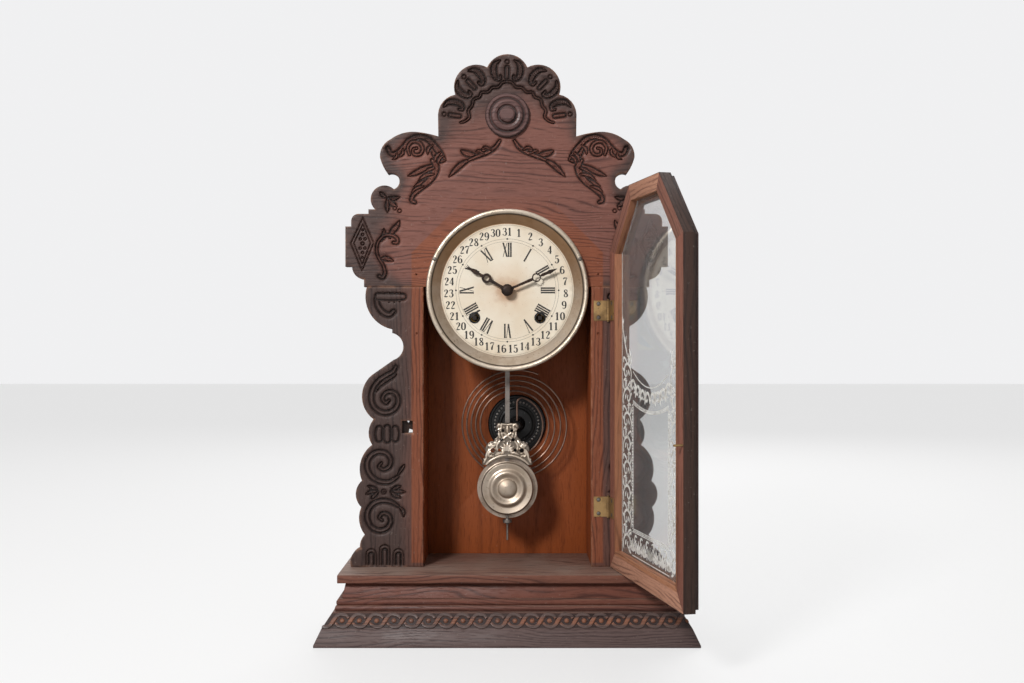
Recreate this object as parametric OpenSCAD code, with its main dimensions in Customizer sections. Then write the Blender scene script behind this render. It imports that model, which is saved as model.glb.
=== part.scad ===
// Table clock with a carved wooden case, a glazed door that stands open, a calendar dial,
// a time and strike movement, a pendulum and a coil gong.
// The origin is the middle of the base's underside. X is right, Y is back and Z is up.

/* [Case] */
// Width of the opening between the two front stiles
opening_w = 156.6; // [155:0.2:160]
// Height of the front stiles, from the shelf to the crest board
stile_h = 261; // [256:1:266]
// Thickness of the crest board and the front stiles
front_t = 10; // [9:0.5:12]
// Thickness of the case sides
side_t = 9; // [7.5:0.5:9.5]
// Clear depth of the case behind the front boards
inner_depth = 56; // [56:0.5:62]
// Clear height of the case above the movement
head_room = 6.7; // [4:0.1:14]
// Thickness of the case top
top_t = 9; // [7:0.5:11]
// Thickness of the back board
back_t = 7; // [6:0.5:9]
// Radius of the arch cut in the crest board behind the dial
arch_r = 67.6; // [67.2:0.1:69]

/* [Base] */
// Height of the base, from the table to the top of its shelf
base_h = 60.4; // [56:0.2:66]
// Thickness of the shelf on the base
shelf_t = 7.4; // [6.6:0.2:9.4]
// Width of the shelf
shelf_w = 305.8; // [300:0.2:316]
// How far the shelf stands in front of the carved boards
shelf_reveal = 37; // [34:0.2:42]
// How far the foot of the base stands outside the shelf
foot_flare = 18.3; // [15:0.1:22]
// Thickness of the base mouldings
moulding_t = 9; // [7:0.5:11]
// Thickness of the bottom board in the base
bottom_t = 5; // [4:0.5:7]

/* [Rosette] */
// Radius of the turned rosette on the crest
rosette_r = 20.6; // [18:0.1:22]
// Height of the rosette in front of the crest board
rosette_h = 8.5; // [6:0.5:11]

/* [Door] */
// Width of the two door stiles
door_stile_w = 16.4; // [15:0.1:17.4]
// Width of the bottom rail
door_bottom_w = 17.4; // [14:0.2:20]
// Width of the top rail
door_top_w = 14.2; // [13:0.1:16]
// Width of the two shoulder rails
door_slant_w = 14.5; // [13:0.1:16]
// Thickness of the door frame behind its front moulding
door_t = 10; // [9.4:0.2:10.6]
// Thickness of the moulding on the front of the door
door_step_t = 3.4; // [2.4:0.2:4.4]
// How far that moulding is set in from the door's edge
door_step_in = 2.5; // [1.5:0.1:3.5]
// Thickness of the door glass
glass_t = 2; // [1.6:0.1:2.4]
// Depth of the glass in front of the back of the door
glass_depth = 6.2; // [6:0.1:6.6]
// Width of the rebate that holds the glass
rebate_w = 4; // [3:0.2:5]
// Angle at which the open door stands
door_open = 102.6; // [60:0.2:103]

/* [Hinges] */
// Height of each hinge
hinge_h = 18.6; // [15:0.3:21.6]
// Width of each hinge leaf
hinge_leaf_w = 13.4; // [12:0.2:14.4]
// Thickness of each hinge leaf
hinge_leaf_t = 0.9; // [0.6:0.1:1.0]
// Radius of the hinge knuckle
knuckle_r = 1.25; // [1.15:0.05:1.25]
// Radius of the hinge pin
hinge_pin_r = 0.6; // [0.5:0.05:0.7]

/* [Dial] */
// Outer radius of the dial rim
rim_r = 75.4; // [74.8:0.1:76]
// How far the rim stands in front of the carved boards
rim_proud = 7; // [6:0.2:7.6]
// Radius of the printed dial paper
paper_r = 62; // [60:0.2:62.6]
// Depth of the dial behind the front of the carved boards
dial_sink = 3; // [2.6:0.1:3.4]
// Radius of the holes for the winding key
eyelet_r = 3.9; // [3.6:0.1:4.3]

/* [Hands] */
// Length of the minute hand from its axis
minute_len = 50.5; // [46:0.5:54]
// Length of the hour hand from its axis
hour_len = 44.4; // [41:0.1:46]
// Thickness of the hands
hand_t = 0.8; // [0.6:0.1:1.0]
// Radius of the round nut that holds the hands
hand_nut_r = 5.6; // [4.6:0.1:6]
// Clockwise angle of the minute hand from twelve
minute_angle = 66.8; // [0:0.1:360]
// Clockwise angle of the hour hand from twelve
hour_angle = 300; // [0:0.1:360]

/* [Movement] */
// Width of the movement plates
plate_w = 120; // [118:1:126]
// Thickness of the movement plates
plate_t = 1.6; // [1.2:0.1:2]
// Clear distance between the movement plates
plate_gap = 31.8; // [31.4:0.1:33]
// Radius of the pillars between the plates
pillar_r = 2.8; // [2.4:0.1:3.2]
// Sideways distance of each winding arbor from the middle
winding_x = 30.6; // [30:0.1:31.2]
// Distance of the winding arbors below the hands' axis
winding_drop = 25.6; // [25:0.1:26.2]
// Radius of the winding arbors
winding_r = 2.8; // [2.6:0.1:3.1]
// Side of the square on each winding arbor
winding_square = 3.6; // [3:0.1:3.6]
// Radius of the train arbors
arbor_r = 0.7; // [0.65:0.01:0.75]
// Radius of the pivots in the plates
pivot_r = 0.5; // [0.4:0.02:0.6]
// Outer radius of the mainsprings
spring_r = 22.5; // [21:0.5:23]
// Width of the mainspring strip
spring_w = 15; // [13:0.5:15.5]

/* [Pendulum] */
// Length of the pendulum from its flexing point to the middle of the bob
pendulum_len = 229.8; // [226:0.2:234]
// Radius of the bob
bob_r = 28.6; // [27:0.2:30]
// Thickness of the bob's back disc
bob_t = 3.4; // [2.4:0.2:4.4]
// Width of the flat pendulum rod
rod_w = 4.2; // [3.8:0.1:5]

/* [Gong] */
// Outer radius of the gong coil
gong_r = 54; // [52:0.2:55]
// Distance between the turns of the coil
gong_pitch = 5.1; // [4.6:0.1:5.4]
// Radius of the gong wire
gong_wire_r = 0.9; // [0.7:0.05:1]
// Radius of the cast gong base
gong_base_r = 28.6; // [27:0.2:31]
// Distance of the gong's middle below the dial's middle
gong_drop = 129.3; // [127:0.1:131]
// Depth of the gong coil in front of the back board
gong_stand = 17; // [16:0.5:19]

/* [Hidden] */
// Running clearance between a shaft and its hole
run = 0.05;
// Clearance between fixed pieces that are fitted by hand
fit = 0.1;
// Clearance between pieces that must not touch
clear = 0.3;

wood_dark = [0.25, 0.13, 0.10];
wood_red = [0.45, 0.22, 0.13];
wood_pale = [0.40, 0.24, 0.19];
brass = [0.72, 0.58, 0.28];
nickel = [0.72, 0.69, 0.63];
steel = [0.32, 0.32, 0.34];
iron = [0.05, 0.05, 0.06];
cream = [0.90, 0.85, 0.75];
clear_glass = [0.8, 0.85, 0.85, 0.35];

// Case: planes from the front to the back, and heights from the table
case_d = foot_flare + shelf_reveal + front_t + inner_depth + back_t;
back_y = case_d / 2;
board_y = back_y - back_t;
rear_y = board_y - inner_depth;
face_y = rear_y - front_t;
shelf_y = face_y - shelf_reveal;
foot_y = shelf_y - foot_flare;
half_open = opening_w / 2;
side_x = half_open + side_t;
shelf_x = shelf_w / 2;
foot_x = shelf_x + foot_flare;
shelf_z = base_h - shelf_t;
crest_z = base_h + stile_h;

// The dial's middle lies a little below the crest board's lower edge
dial_drop = 3.1;
dial_z = crest_z - dial_drop;

// Right half of the crest board's edge, going up: distance from the middle, height above
// the board's lower edge, and how far the edge bows out on its way to the next point
crest_edge = [
  [133.6, 0, 0], [133.6, 6.9, 3.2], [144.8, 18.9, 0], [151, 18.9, 0], [151, 56.4, 0],
  [145.6, 56.4, 0], [145.6, 60.6, 2.1], [139.3, 68.2, 0], [129.5, 68.2, 0], [129.5, 72.4, 0],
  [123.4, 72.4, 12.9], [105.7, 91.2, -8.1], [111.4, 105.4, 0.9], [118.7, 121, 3],
  [109, 137.7, 2.2], [85.5, 144.7, 0.6], [64.3, 140.4, 0], [64.6, 160.7, 4.4],
  [48.5, 179.4, 13.5], [18.8, 204.8, 12.3]
];
rosette_z = 159.7;

// Outer edge of the right stile, going up from the shelf, written in the same way
stile_edge = [
  [145.8, 0, 3.9], [137.4, 17.5, 1.5], [132.9, 29.9, 3.6], [136.2, 55.7, 5.4],
  [135.6, 80.4, 6], [126.1, 113.7, 3.9], [124.8, 137.6, 9.9], [126.5, 178.7, 0],
  [106, 193, -9.7], [107.3, 218, 0], [107.3, 221.4, 10.2]
];
stile_top_x = 131;

// Outside of the base moulding, going down: distance outside the shelf, and height out of 53
profile_h = 53;
moulding_edge = [
  [-7, 53], [-4, 39.3], [-0.8, 38.9], [0.5, 37.2], [0.6, 35], [-0.3, 33.5], [1.2, 32.8],
  [1.9, 31], [1.3, 28.8], [0.6, 28.4], [3.5, 27.9], [12.1, 15.2]
];
foot_edge = 2;
foot_t = 11;

// Rosette: share of its radius, and share of its height
rosette_profile = [
  [1, 0], [1, 0.32], [0.93, 0.5], [0.85, 0.5], [0.79, 0.36], [0.74, 0.36], [0.68, 0.62],
  [0.58, 0.72], [0.48, 0.66], [0.43, 0.48], [0.37, 0.48], [0.33, 0.9], [0.26, 1], [0, 1]
];

// Door, drawn shut and then turned open about its hinges
rim_gap = 0.6;
slant_gap = 0.6;
sight_r = rim_r + rim_gap;
door_x = sight_r + door_stile_w;
door_gap = 0.6;
door_z = base_h + door_gap;
door_top_z = dial_z + sight_r + door_top_w;
slant_in = dial_z + (sight_r + slant_gap) * sqrt(2);
slant_out = slant_in + door_slant_w * sqrt(2);
hinge_gap = 2.6;
hinge_set = 1.5;
door_back_y = face_y - hinge_gap;
door_front_y = door_back_y - door_t;
hinge_x = door_x + hinge_set;
hinge_y = face_y - hinge_gap / 2;
hinge_z = [dial_z - 201.6, dial_z - 19];
hinge_parts = 3;
knuckle_gap = 0.15;
catch_z = dial_z - 127.5;
catch_wire_r = 0.9;
catch_x = -door_x + 1.6;
catch_hook = 2.6;
catch_reach = 7;
hole_w = 10;
hole_h = 11.5;
hole_x = -door_x - 0.8;
keeper_t = 1;
keeper_w = 3;

// Round-headed screws, all of one size: head, shank and length in the wood
screw_head_r = 1.9;
screw_head_h = 1.1;
screw_r = 0.9;
screw_len = 5.6;
hinge_screw_x = 8.8;
hinge_screw_z = 6.4;
hinge_sink = hinge_leaf_t - 0.3;
hinge_head_h = hinge_sink + 0.2;

// Dial and hands, from back to front
dial_y = face_y + dial_sink;
pan_t = 0.8;
paper_t = 0.3;
rim_y = face_y - rim_proud;
rim_w = 4.4;
rim_roll = 2;
paper_edge = 0.6;
pan_r = paper_r + paper_edge;
eyelet_wall = 0.7;
eyelet_flange = 1.5;
hour_y = dial_y - paper_t - 2.9;
minute_y = hour_y - 2.7;
nut_y = minute_y - hand_t - fit;
nut_h = 3.6;
centre_r = 1.5;
pipe_wall = 0.85;
cannon_r = centre_r + run + pipe_wall;
hour_pipe_r = cannon_r + run + pipe_wall;
collet_wall = 1.1;
dial_screw_turn = 67;
dial_screw_at = rim_r - rim_w / 2;

// Movement: the plates, and the wheels' planes behind the front plate
front_plate_y = rear_y + 12.5;
front_inner_y = front_plate_y + plate_t;
back_inner_y = front_inner_y + plate_gap;
back_plate_y = back_inner_y + plate_t;
plate_up = 65.4;
plate_down = 56.3;
ceiling_z = dial_z + plate_up + head_room;
inner_h = ceiling_z - base_h;
plate_foot_w = 44;
plate_chamfer = 15;
pillar_at = [[10, -50], [52, 56]];
lug_in = 8;
end_play = 0.3;

great_m = 0.72;
great_n = 72;
second_pins = 12;
second_m = 0.78;
second_n = 36;
centre_pins = 8;
centre_m = 0.48;
centre_n = 64;
third_pins = 7;
third_m = 0.46;
third_n = 58;
escape_pins = 6;
escape_n = 42;
escape_r = 13;
motion_m = 0.65;
cannon_pins = 10;
minute_n = 30;
minute_pins = 8;
hour_n = 32;
strike_m = 0.5;
strike_n = 60;
fly_pins = 8;
wheel_t = 1.2;
great_t = 2;

// Distance between a wheel and its lantern pinion
function mesh(m, n, pins) = m * (n + pins) / 2;
// The point at distance a from p and b from q, on the left of the way from p to q
function apex(p, q, a, b) =
  let (d = norm(q - p), u = (q - p) / d, s = (a * a - b * b + d * d) / (2 * d))
  p + u * s + [-u[1], u[0]] * sqrt(a * a - s * s);
function heading(p, q) = atan2(q[1] - p[1], q[0] - p[0]);

centre_at = [0, dial_z];
time_at = [winding_x, dial_z - winding_drop];
strike_at = [-winding_x, dial_z - winding_drop];
second_reach = mesh(second_m, second_n, centre_pins);
great_reach = mesh(great_m, great_n, second_pins);
second_at = apex(centre_at, time_at, second_reach, great_reach);
third_x = -10;
third_at = [third_x, dial_z + sqrt(pow(mesh(centre_m, centre_n, third_pins), 2) - pow(third_x, 2))];
escape_at = [0, third_at[1] + sqrt(pow(mesh(third_m, third_n, escape_pins), 2) - pow(third_x, 2))];
motion_at = [mesh(motion_m, minute_n, cannon_pins), dial_z];
pin_x = -30;
pin_at = [pin_x, strike_at[1] + sqrt(pow(great_reach, 2) - pow(pin_x - strike_at[0], 2))];
fly_x = -36;
fly_at = [fly_x, pin_at[1] + sqrt(pow(mesh(strike_m, strike_n, fly_pins), 2) - pow(fly_x - pin_x, 2))];

great_y = front_inner_y + 3;
second_y = front_inner_y + 8.4;
centre_y = front_inner_y + 13.4;
third_y = front_inner_y + 19.4;
escape_y = front_inner_y + 25.4;
pin_y = front_inner_y + 8.4;
spring_y = back_inner_y - spring_w - 0.8;
spring_t = 0.5;
spring_turns = 5;
barrel_r = 4.4;
ratchet_r = 8;
ratchet_n = 18;
stud_r = 1.2;
cannon_y = rear_y + 4.2;
hour_wheel_y = rear_y + 1.2;

// Escapement and pendulum, which swing about one axis
verge_drop = 18.4;
verge_z = escape_at[1] + verge_drop;
pallet_gap = 1.2;
pallet_t = 0.9;
cock_z = verge_z + 7;
cock_r = 2.8;
strip_w = 3.6;
strip_t = 0.3;
crutch_r = 0.6;
crutch_len = 27;
pendulum_y = front_plate_y - 3.9;
bob_z = verge_z - pendulum_len;
leader_r = 0.8;
loop_r = 7.1;
rod_t = 1.2;
rod_top_z = dial_z - 60;
shell_r = bob_r - 3.2;
shell_h = 7.6;
nut_drop = bob_r + 4;
thread_r = 1;
thread_end = bob_r + 20.6;

// Cast ornament above the bob, right half, going up from the bob's edge
ornament_edge = [
  [23.6, 22.4, 1.2], [21, 29.6, 0.8], [20.4, 34, 1], [19.4, 41.2, 1.2], [12.6, 44.6, 0.4],
  [11.8, 46.6, -0.8], [8.8, 52.4, -0.4], [9.9, 56, 0.9], [10.2, 60.2, 0.5], [8.6, 61.9, 0]
];
ornament_t = 2.2;

// Gong: the inner end stands up from a post, bends over and joins the spiral
gong_x = 9.3;
gong_z = dial_z - gong_drop;
gong_y = board_y - gong_stand;
gong_turns = 5;
gong_steps = 24;
gong_sides = 6;
gong_lean = 4.4;
gong_bend = 5;
gong_base_h = 11;
post_r = 4.2;
hammer_x = 2;
hammer_drop = 50.6;
hammer_at = [hammer_x, dial_z - hammer_drop];
hammer_head_r = 3.4;
hammer_gap = 0.6;
hammer_head_x = 17;

// An edge from p to q that bows out by b to the right of the way, without its end point
function bow(p, q, b, n = 8) =
  b == 0 ? [p] :
  let (d = norm(q - p), u = (q - p) / d, w = [u[1], -u[0]], a = 2 * atan(2 * b / d), r = d / 2 / sin(a))
  [for (i = [0 : n - 1]) let (t = a * (2 * i / n - 1))
    p + u * (d / 2 + r * sin(t)) + w * r * (cos(t) - cos(a))];

// The points of an edge written as rows of [x, z, bow], with its end point
function edge(rows, end) = [
  for (i = [0 : len(rows) - 1])
    let (p = [rows[i][0], rows[i][1]], q = i < len(rows) - 1 ? [rows[i + 1][0], rows[i + 1][1]] : end)
    for (v = bow(p, q, rows[i][2], abs(rows[i][2]) > 5 ? 14 : 6)) v,
  end
];
function mirrored(points) = [for (i = [len(points) - 1 : -1 : 0]) [-points[i][0], points[i][1]]];

// A flat outline in the wall of the clock, between two depths
module slab(y0, y1) {
  translate([0, y1, 0]) rotate([90, 0, 0]) linear_extrude(y1 - y0) children();
}

// A round bar along Y
module bar(at, r, y0, y1, fn = 24) {
  translate([at[0], y1, at[1]]) rotate([90, 0, 0]) cylinder(r = r, h = y1 - y0, $fn = fn);
}

// A turned shape about an axis along Y, from points of [radius, y]
module turned(at, points, fn = 64) {
  translate([at[0], 0, at[1]]) rotate([-90, 0, 0]) rotate_extrude($fn = fn)
    polygon([for (p = points) [p[0], p[1]]]);
}

module both_sides() {
  children();
  mirror([1, 0, 0]) children();
}

// A round-headed screw that goes back into the wood, its head's underside at y
module screw(at, y, length = screw_len, head_h = screw_head_h) {
  turned(at, [
    [0, y + length + 1.4], [screw_r, y + length], [screw_r, y], [screw_head_r, y],
    [screw_head_r * 0.8, y - head_h * 0.75], [screw_head_r * 0.35, y - head_h], [0, y - head_h]
  ], 16);
}

module screw_hole(at, y, length = screw_len) {
  bar(at, screw_r + fit, y - 0.01, y + length + 1.8, 16);
}

dial_screws = [for (s = [-1, 1])
  [s * dial_screw_at * sin(dial_screw_turn), dial_z + dial_screw_at * cos(dial_screw_turn)]];
case_leaf_screws = [for (z = hinge_z, s = [-1, 1]) [hinge_x - hinge_screw_x, z + s * hinge_screw_z]];
lug_screws = [for (s = [-1, 1], z = [dial_z - plate_down + 4, dial_z + plate_up - 6])
  [s * (z < dial_z ? 26 : 44), z]];
gong_screw = [gong_x, gong_z - 18.5];

module crest_board() {
  right = edge(crest_edge, [-18.8, 204.8]);
  half = [for (i = [0 : len(right) - 2]) if (right[i][0] >= 0) right[i]];
  color(wood_dark) difference() {
    slab(face_y, rear_y) difference() {
      translate([0, crest_z]) polygon(concat(half, mirrored(half)));
      translate([0, dial_z]) circle(r = arch_r, $fn = 96);
    }
    for (p = dial_screws) screw_hole(p, face_y, screw_len - rim_proud + 5);
  }
}

module crest_rosette() {
  color(wood_dark) turned([0, crest_z + rosette_z],
    concat([[0, face_y]], [for (p = rosette_profile) [p[0] * rosette_r, face_y - p[1] * rosette_h]]), 48);
}

module stile_board() {
  translate([0, base_h])
    polygon(concat(edge(stile_edge, [stile_top_x, stile_h]), [[half_open, stile_h], [half_open, 0]]));
}

module left_front_stile() {
  color(wood_dark) slab(face_y, rear_y) difference() {
    mirror([1, 0]) stile_board();
    translate([hole_x, catch_z]) square([hole_w, hole_h], center = true);
  }
}

module right_front_stile() {
  color(wood_dark) difference() {
    slab(face_y, rear_y) stile_board();
    for (p = case_leaf_screws) screw_hole(p, face_y, screw_len - 1.4);
  }
}

module case_side() {
  translate([half_open, rear_y, base_h]) cube([side_t, inner_depth, inner_h]);
}

module case_left_side() {
  color(wood_red) mirror([1, 0, 0]) case_side();
}

module case_right_side() {
  color(wood_red) case_side();
}

module case_top() {
  color(wood_red) translate([-side_x, rear_y, ceiling_z]) cube([2 * side_x, inner_depth, top_t]);
}

module back_board() {
  color(wood_red) difference() {
    translate([-side_x, board_y, base_h]) cube([2 * side_x, back_t, inner_h + top_t]);
    for (p = concat(lug_screws, [gong_screw])) bar(p, screw_r + fit, board_y - 0.01, board_y + 5, 16);
  }
}

module shelf_board() {
  color(wood_dark) translate([-shelf_x, shelf_y, shelf_z]) cube([shelf_w, back_y - shelf_y, shelf_t]);
}

// Section of the base moulding, in distance outside the shelf and height
module moulding_section() {
  k = shelf_z / profile_h;
  foot_in = foot_flare - foot_t;
  outside = [for (p = moulding_edge) [p[0], p[1] * k]];
  polygon(concat(outside, [
    [foot_flare, foot_edge], [foot_flare, 0], [foot_in, 0], [foot_in, bottom_t],
    [3.5 - moulding_t * 1.3, 25 * k], [-4 - moulding_t, 37 * k], [-7 - moulding_t, shelf_z]
  ]));
}

mitre = 45;

module base_front_moulding() {
  color(wood_dark) intersection() {
    translate([-foot_x, shelf_y, 0]) rotate([90, 0, 90]) linear_extrude(2 * foot_x)
      mirror([1, 0]) moulding_section();
    linear_extrude(shelf_z) polygon([
      [-foot_x, foot_y], [foot_x, foot_y],
      [foot_x - mitre, foot_y + mitre], [-foot_x + mitre, foot_y + mitre]
    ]);
  }
}

module side_moulding() {
  intersection() {
    translate([shelf_x, back_y, 0]) rotate([90, 0, 0]) linear_extrude(back_y - foot_y) moulding_section();
    linear_extrude(shelf_z) polygon([
      [foot_x, foot_y], [foot_x, back_y], [foot_x - mitre, back_y], [foot_x - mitre, foot_y + mitre]
    ]);
  }
}

module base_left_moulding() {
  color(wood_dark) mirror([1, 0, 0]) side_moulding();
}

module base_right_moulding() {
  color(wood_dark) side_moulding();
}

module base_bottom() {
  w = foot_x - foot_t - fit;
  y0 = foot_y + foot_t + fit;
  color(wood_red) translate([-w, y0, 0]) cube([2 * w, back_y - y0, bottom_t]);
}

// Corners of the shut door, clockwise from the lower left: its outer edge set in by o,
// or the edge of its opening with a lip of i
function door_outer(o) =
  let (x = door_x - o, top = door_top_z - o, s = slant_out - o * sqrt(2))
  [[-x, door_z + o], [x, door_z + o], [x, s - x], [s - top, top], [top - s, top], [-x, s - x]];
function door_sight(i) =
  let (x = sight_r - i, top = dial_z + sight_r - i)
  let (low = door_z + door_bottom_w + i, s = slant_in - i * sqrt(2))
  [[-x, low], [x, low], [x, s - x], [s - top, top], [top - s, top], [-x, s - x]];

// One member of the door frame, from corner k to the next
module door_member(k) {
  n = (k + 1) % 6;
  glass_front = door_back_y - glass_depth - glass_t - fit;
  slab(glass_front, door_back_y) door_quad(k, n, 0, 0);
  slab(door_front_y, glass_front) door_quad(k, n, 0, rebate_w);
  slab(door_front_y - door_step_t, door_front_y) door_quad(k, n, door_step_in, rebate_w);
}

module door_quad(k, n, o, i) {
  a = door_outer(o);
  b = door_sight(i);
  polygon([a[k], a[n], b[n], b[k]]);
}

module door_pose() {
  translate([hinge_x, hinge_y, 0]) rotate([0, 0, door_open]) translate([-hinge_x, -hinge_y, 0]) children();
}

door_leaf_screws = [for (z = hinge_z, s = [-1, 1]) [hinge_x - hinge_screw_x, z + s * hinge_screw_z]];

module door_hinge_stile() {
  color(wood_pale) door_pose() difference() {
    door_member(1);
    for (p = door_leaf_screws) bar(p, screw_r + fit, door_back_y - screw_len - 0.4, door_back_y + 0.01, 16);
  }
}

module door_free_stile() {
  color(wood_pale) door_pose() difference() {
    door_member(5);
    bar([catch_x, catch_z], catch_wire_r + fit, door_back_y - 6, door_back_y + 0.01, 16);
  }
}

module door_bottom_rail() {
  color(wood_pale) door_pose() door_member(0);
}

module door_top_rail() {
  color(wood_pale) door_pose() door_member(3);
}

module door_shoulder_rails() {
  color(wood_pale) door_pose() {
    door_member(2);
    door_member(4);
  }
}

module door_glass() {
  color(clear_glass) door_pose() slab(door_back_y - glass_depth - glass_t, door_back_y - glass_depth)
    polygon(door_sight(fit));
}

// A wire hook that reaches through the hole in the left stile when the door is shut
module door_catch() {
  y1 = door_back_y + catch_reach;
  color(brass) door_pose() {
    bar([catch_x, catch_z], catch_wire_r, door_back_y - 5.6, y1);
    translate([catch_x - catch_hook, y1, catch_z]) rotate([0, 90, 0])
      cylinder(r = catch_wire_r, h = catch_hook, $fn = 24);
    translate([catch_x, y1, catch_z]) sphere(r = catch_wire_r, $fn = 24);
  }
}

module latch_keeper() {
  x0 = hole_x - hole_w / 2 + fit;
  color(iron) translate([x0, face_y + 5, catch_z - hole_h / 2 + fit])
    cube([keeper_w, keeper_t, hole_h - 2 * fit]);
}

// The thirds of a hinge's height that belong to the case (0) or to the door (1)
// Its screws' heads are sunk in the side at y0 or y1 that faces away from the wood
module hinge_leaf(z, part, y0, y1) {
  third = hinge_h / hinge_parts;
  low = z - hinge_h / 2;
  cut = hinge_x - knuckle_r - knuckle_gap;
  difference() {
    union() {
      translate([hinge_x - hinge_leaf_w, y0, low]) cube([hinge_leaf_w - hinge_x + cut, y1 - y0, hinge_h]);
      for (k = [0 : hinge_parts - 1]) if (k % 2 == part) {
        translate([cut - 0.5, y0, low + k * third + knuckle_gap])
          cube([hinge_x - cut + 0.5, y1 - y0, third - 2 * knuckle_gap]);
        translate([hinge_x, hinge_y, low + k * third + knuckle_gap])
          cylinder(r = knuckle_r, h = third - 2 * knuckle_gap, $fn = 32);
      }
    }
    translate([hinge_x, hinge_y, low - 1]) cylinder(r = hinge_pin_r + run, h = hinge_h + 2, $fn = 32);
    for (s = [-1, 1]) {
      bar([hinge_x - hinge_screw_x, z + s * hinge_screw_z], screw_r + fit, y0 - 1, y1 + 1, 16);
      bar([hinge_x - hinge_screw_x, z + s * hinge_screw_z], screw_head_r + fit,
        part == 0 ? y0 - 1 : y1 - hinge_sink, part == 0 ? y0 + hinge_sink : y1 + 1, 16);
    }
  }
}

module hinge_case_leaves() {
  color(brass) for (z = hinge_z) hinge_leaf(z, 0, face_y - hinge_leaf_t, face_y);
}

module hinge_door_leaves() {
  color(brass) door_pose() for (z = hinge_z) hinge_leaf(z, 1, door_back_y, door_back_y + hinge_leaf_t);
}

module hinge_pins() {
  color(steel) for (z = hinge_z) {
    translate([hinge_x, hinge_y, z - hinge_h / 2 - 0.4])
      cylinder(r = hinge_pin_r, h = hinge_h + 0.8, $fn = 32);
    for (s = [-1, 1]) translate([hinge_x, hinge_y, z + s * (hinge_h / 2 + 0.7)])
      cylinder(r = knuckle_r - 0.15, h = 0.7, center = true, $fn = 32);
  }
}

// Screws in the case: dial, hinges, movement and gong
module case_screws() {
  color(steel) {
    for (p = dial_screws) screw(p, rim_y - fit, rim_proud + 3.6);
    for (p = case_leaf_screws) screw(p, face_y - hinge_leaf_t + hinge_sink, screw_len - 1.4, hinge_head_h);
    for (p = lug_screws) screw(p, board_y - plate_t, 4.6);
    screw(gong_screw, board_y - 3, 6);
  }
}

module door_screws() {
  color(steel) door_pose() for (p = door_leaf_screws)
    translate([0, 2 * door_back_y, 0]) mirror([0, 1, 0])
      screw(p, door_back_y - hinge_leaf_t + hinge_sink, screw_len - 1.4, hinge_head_h);
}

eyelet_at = [time_at, strike_at];
eyelet_out = eyelet_r + eyelet_wall;

// One sheet of metal: a rolled rim on the face of the case, a slope, and a flat dial
module dial_pan() {
  roll = [for (a = [0 : 30 : 180])
    [rim_r - rim_w / 2 + rim_w / 2 * cos(a), rim_y + rim_roll - rim_roll * sin(a)]];
  throat = arch_r - fit - 0.4;
  color(nickel) difference() {
    turned(centre_at, concat([[rim_r, face_y]], roll, [
      [pan_r, dial_y], [0, dial_y], [0, dial_y + pan_t], [pan_r + 0.4, dial_y + pan_t], [throat, face_y]
    ]), 96);
    for (p = eyelet_at) bar(p, eyelet_out + fit, dial_y - 1, dial_y + pan_t + 1, 32);
    bar(centre_at, hour_pipe_r + clear + 1.2, dial_y - 1, dial_y + pan_t + 1, 32);
    for (p = dial_screws) bar(p, screw_r + fit, rim_y - 1, face_y + 1, 16);
    for (p = dial_screws) bar(p, screw_head_r + fit, rim_y - 3, rim_y, 16);
  }
}

module dial_paper() {
  color(cream) difference() {
    bar(centre_at, paper_r, dial_y - paper_t, dial_y, 96);
    for (p = eyelet_at) bar(p, eyelet_out + fit, dial_y - 1, dial_y + 1, 32);
    bar(centre_at, hour_pipe_r + clear + 1.2, dial_y - 1, dial_y + 1, 32);
  }
}

module dial_eyelets() {
  front = dial_y - paper_t;
  color(steel) for (p = eyelet_at) turned(p, [
    [eyelet_r, dial_y + pan_t + 0.6], [eyelet_out, dial_y + pan_t + 0.6], [eyelet_out, front],
    [eyelet_r + eyelet_flange, front], [eyelet_r + eyelet_flange - 0.3, front - 0.6],
    [eyelet_r, front - 0.8]
  ], 32);
}

// A pierced hand: collet, tapered arm, ring and point. Rows give [distance, half width]
module hand(angle, bore, ring_at, ring_out, ring_in, arm, y) {
  left = [for (p = arm) [-p[1], p[0]]];
  right = [for (i = [len(arm) - 1 : -1 : 0]) [arm[i][1], arm[i][0]]];
  translate([0, 0, dial_z]) rotate([0, angle, 0]) difference() {
    union() {
      bar([0, 0], bore + collet_wall, y - hand_t, y, 32);
      slab(y - hand_t, y) polygon(concat(left, right));
      bar([0, ring_at], ring_out, y - hand_t, y, 32);
    }
    bar([0, 0], bore, y - hand_t - 1, y + 1, 32);
    bar([0, ring_at], ring_in, y - hand_t - 1, y + 1, 24);
  }
}

module hour_hand() {
  k = hour_len / 44.4;
  arm = [
    [0, 1.9], [10 * k, 1.3], [18 * k, 1.5], [25 * k, 1.7], [30 * k, 1.1], [34 * k, 2.3],
    [38 * k, 1.4], [hour_len, 0.15]
  ];
  color(iron) hand(hour_angle, hour_pipe_r + run, 22.2 * k, 4.6, 2.3, arm, hour_y);
}

module minute_hand() {
  k = minute_len / 50.5;
  arm = [
    [0, 1.7], [8 * k, 1.1], [25 * k, 1.4], [25.8 * k, 0.6], [33.4 * k, 0.6], [36 * k, 1.5],
    [40 * k, 1.2], [43 * k, 1.9], [minute_len, 0.15]
  ];
  color(iron) hand(minute_angle, cannon_r + run, 29.5 * k, 4.2, 3, arm, minute_y);
}

module hand_nut() {
  y = nut_y;
  r = hand_nut_r;
  color(brass) turned(centre_at, [
    [centre_r + run, y], [r, y], [r, y - 0.9], [r * 0.9, y - 1.9], [r * 0.68, y - 2.9],
    [r * 0.4, y - nut_h + 0.15],
    [0, y - nut_h], [0, y - nut_h + 1.1], [centre_r + run, y - nut_h + 1.1]
  ], 32);
}

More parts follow.
